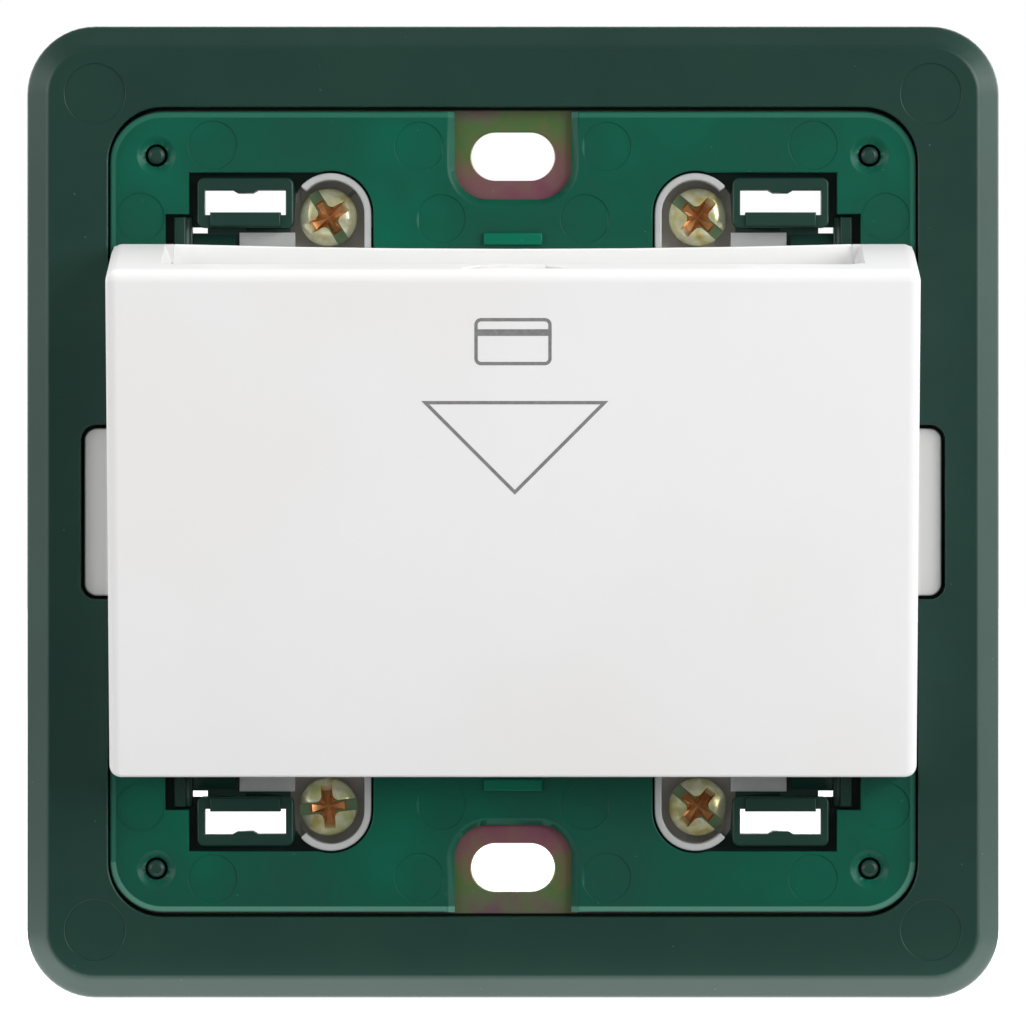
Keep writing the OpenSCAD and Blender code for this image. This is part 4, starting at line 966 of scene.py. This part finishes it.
# Camera in front, as far as the perspective of the photographed pocket says
view = {"distance": 0.750, "focal": 311.1, "sensor": 36.0}
cameraData = bpy.data.cameras.new("photo_camera")
cameraData.lens = view["focal"]
cameraData.sensor_width = view["sensor"]
cameraData.sensor_fit = "HORIZONTAL"
camera = bpy.data.objects.new("photo_camera", cameraData)
camera.location = (0, -view["distance"], 0)
camera.rotation_euler = (math.radians(90), 0, 0)
scene.collection.objects.link(camera)
scene.camera = camera

# Softboxes: the right one is stronger than the left, as in the photo, and one behind lights the back
lampSettings = {
    "right_softbox": {"place": (0.69, -0.48, 0.25), "size": 0.5, "watts": 5.4},
    "left_softbox": {"place": (-0.79, -0.46, 0.15), "size": 0.5, "watts": 3.0},
    "rear_softbox": {"place": (0.2, 0.9, 0.5), "size": 0.8, "watts": 5},
}
for name, s in lampSettings.items():
    lampData = bpy.data.lights.new(name, "AREA")
    lampData.shape = "SQUARE"
    lampData.size = s["size"]
    lampData.energy = s["watts"]
    lamp = bpy.data.objects.new(name, lampData)
    lamp.location = s["place"]
    lamp.rotation_euler = (-Vector(s["place"])).to_track_quat("-Z", "Y").to_euler()
    scene.collection.objects.link(lamp)


def raysSeen(tree):
    # the kinds of ray, and whether one comes from the camera, straight or through something clear
    rays = addNode(tree, "ShaderNodeLightPath")
    seen = addNode(tree, "ShaderNodeMath", {
        0: rays.outputs["Is Camera Ray"], 1: rays.outputs["Is Transmission Ray"]}, operation="MAXIMUM")
    return rays, seen.outputs["Value"]


# Studio walls: white behind and beside the object, dim on the camera's side and overhead in reflections,
# with a bright ceiling for the soft light; each span is the part of a ray's direction where it changes
wallSettings = {"ambient": 0.4, "ceiling": 2.1, "ceilingSpan": (0.45, 0.85), "front": 0.1,
                "backSpan": (-0.4, 0.3), "camera": 1.0, "dim": 0.08, "frontSpan": (-0.9, -0.25),
                "topSpan": (0.3, 0.7), "left": 1.8, "right": 3.6}
world = bpy.data.worlds.new("studio")
scene.world = world
world.use_nodes = True
world.cycles.sampling_method = "NONE"  # so that each kind of ray gets its own wall
tree = world.node_tree
tree.nodes.clear()
heading = addNode(tree, "ShaderNodeTexCoord")
axes = addNode(tree, "ShaderNodeSeparateXYZ", {"Vector": heading.outputs["Generated"]})
low, high = wallSettings["ceilingSpan"]
ceiling = addNode(tree, "ShaderNodeMapRange", {
    "Value": axes.outputs["Z"], "From Min": low, "From Max": high, "To Min": 0.0,
    "To Max": wallSettings["ceiling"]})
low, high = wallSettings["backSpan"]
behind = addNode(tree, "ShaderNodeMapRange", {
    "Value": axes.outputs["Y"], "From Min": low, "From Max": high, "To Min": wallSettings["front"],
    "To Max": 1.0})
overhead = addNode(tree, "ShaderNodeMath", {
    0: ceiling.outputs["Result"], 1: behind.outputs["Result"], 2: wallSettings["ambient"]},
    operation="MULTIPLY_ADD")
sides = addNode(tree, "ShaderNodeMapRange", {
    "Value": axes.outputs["X"], "From Min": -1.0, "From Max": 1.0, "To Min": wallSettings["left"],
    "To Max": wallSettings["right"]})
low, high = wallSettings["frontSpan"]
fromFront = addNode(tree, "ShaderNodeMapRange", {
    "Value": axes.outputs["Y"], "From Min": low, "From Max": high, "To Min": wallSettings["dim"],
    "To Max": 1.0})
low, high = wallSettings["topSpan"]
fromTop = addNode(tree, "ShaderNodeMapRange", {
    "Value": axes.outputs["Z"], "From Min": low, "From Max": high, "To Min": 1.0,
    "To Max": wallSettings["dim"]})
upright = addNode(tree, "ShaderNodeMath", {
    0: fromFront.outputs["Result"], 1: fromTop.outputs["Result"]}, operation="MULTIPLY")
wallLight = addNode(tree, "ShaderNodeMath", {
    0: upright.outputs["Value"], 1: sides.outputs["Result"]}, operation="MULTIPLY")
rays, seen = raysSeen(tree)
soft = addNode(tree, "ShaderNodeBackground", {"Color": (1, 1, 1, 1), "Strength": overhead.outputs["Value"]})
walls = addNode(tree, "ShaderNodeBackground", {"Color": (1, 1, 1, 1), "Strength": wallLight.outputs["Value"]})
white = addNode(tree, "ShaderNodeBackground", {"Color": (1, 1, 1, 1), "Strength": wallSettings["camera"]})
mirrored = addNode(tree, "ShaderNodeMixShader", {
    0: rays.outputs["Is Glossy Ray"], 1: soft.outputs["Background"], 2: walls.outputs["Background"]})
backdrop = addNode(tree, "ShaderNodeMixShader", {
    0: seen, 1: mirrored.outputs["Shader"], 2: white.outputs["Background"]})
addNode(tree, "ShaderNodeOutputWorld", {"Surface": backdrop.outputs["Shader"]})

# Floor: pale, white to the camera, with a little of its own shading so that it keeps the shadow
floorSettings = {"size": 6.0, "glow": 0.95, "mirrorNear": 3.6, "mirrorFar": 0.08, "nearM": 0.004,
                 "farM": 0.014, "colour": "#b0b0b0", "roughness": 0.9}
bpy.ops.object.select_all(action="DESELECT")
bpy.ops.mesh.primitive_plane_add(size=floorSettings["size"], location=(0, 0, cadBounds[0].z))
floor = bpy.context.object
floor.name = "floor"
floorMaterial, tree, shader, place = startMaterial("pale_floor")
shader.inputs["Base Color"].default_value = hexColour(floorSettings["colour"])
shader.inputs["Roughness"].default_value = floorSettings["roughness"]
shader.inputs["Specular IOR Level"].default_value = 0.0
rays, seen = raysSeen(tree)
glow = addNode(tree, "ShaderNodeMath", {0: seen, 1: floorSettings["glow"]}, operation="MULTIPLY")
lit = addNode(tree, "ShaderNodeEmission", {"Color": (1, 1, 1, 1), "Strength": glow.outputs["Value"]})
paper = addNode(tree, "ShaderNodeAddShader", {0: shader.outputs["BSDF"], 1: lit.outputs["Emission"]})
axes = addNode(tree, "ShaderNodeSeparateXYZ", {"Vector": place})
away = addNode(tree, "ShaderNodeMath", {0: axes.outputs["Y"]}, operation="ABSOLUTE")
# in reflections it is bright close to the object and dark further out
mirror = addNode(tree, "ShaderNodeMapRange", {
    "Value": away.outputs["Value"], "From Min": floorSettings["nearM"], "From Max": floorSettings["farM"],
    "To Min": floorSettings["mirrorNear"], "To Max": floorSettings["mirrorFar"]},
    interpolation_type="SMOOTHSTEP")
pool = addNode(tree, "ShaderNodeEmission", {"Color": (1, 1, 1, 1), "Strength": mirror.outputs["Result"]})
surface = addNode(tree, "ShaderNodeMixShader", {
    0: rays.outputs["Is Glossy Ray"], 1: paper.outputs["Shader"], 2: pool.outputs["Emission"]})
tree.links.new(surface.outputs["Shader"], tree.nodes["Material Output"].inputs["Surface"])
floor.data.materials.append(floorMaterial)

scene.view_settings.view_transform = "Standard"

print("scene ready")
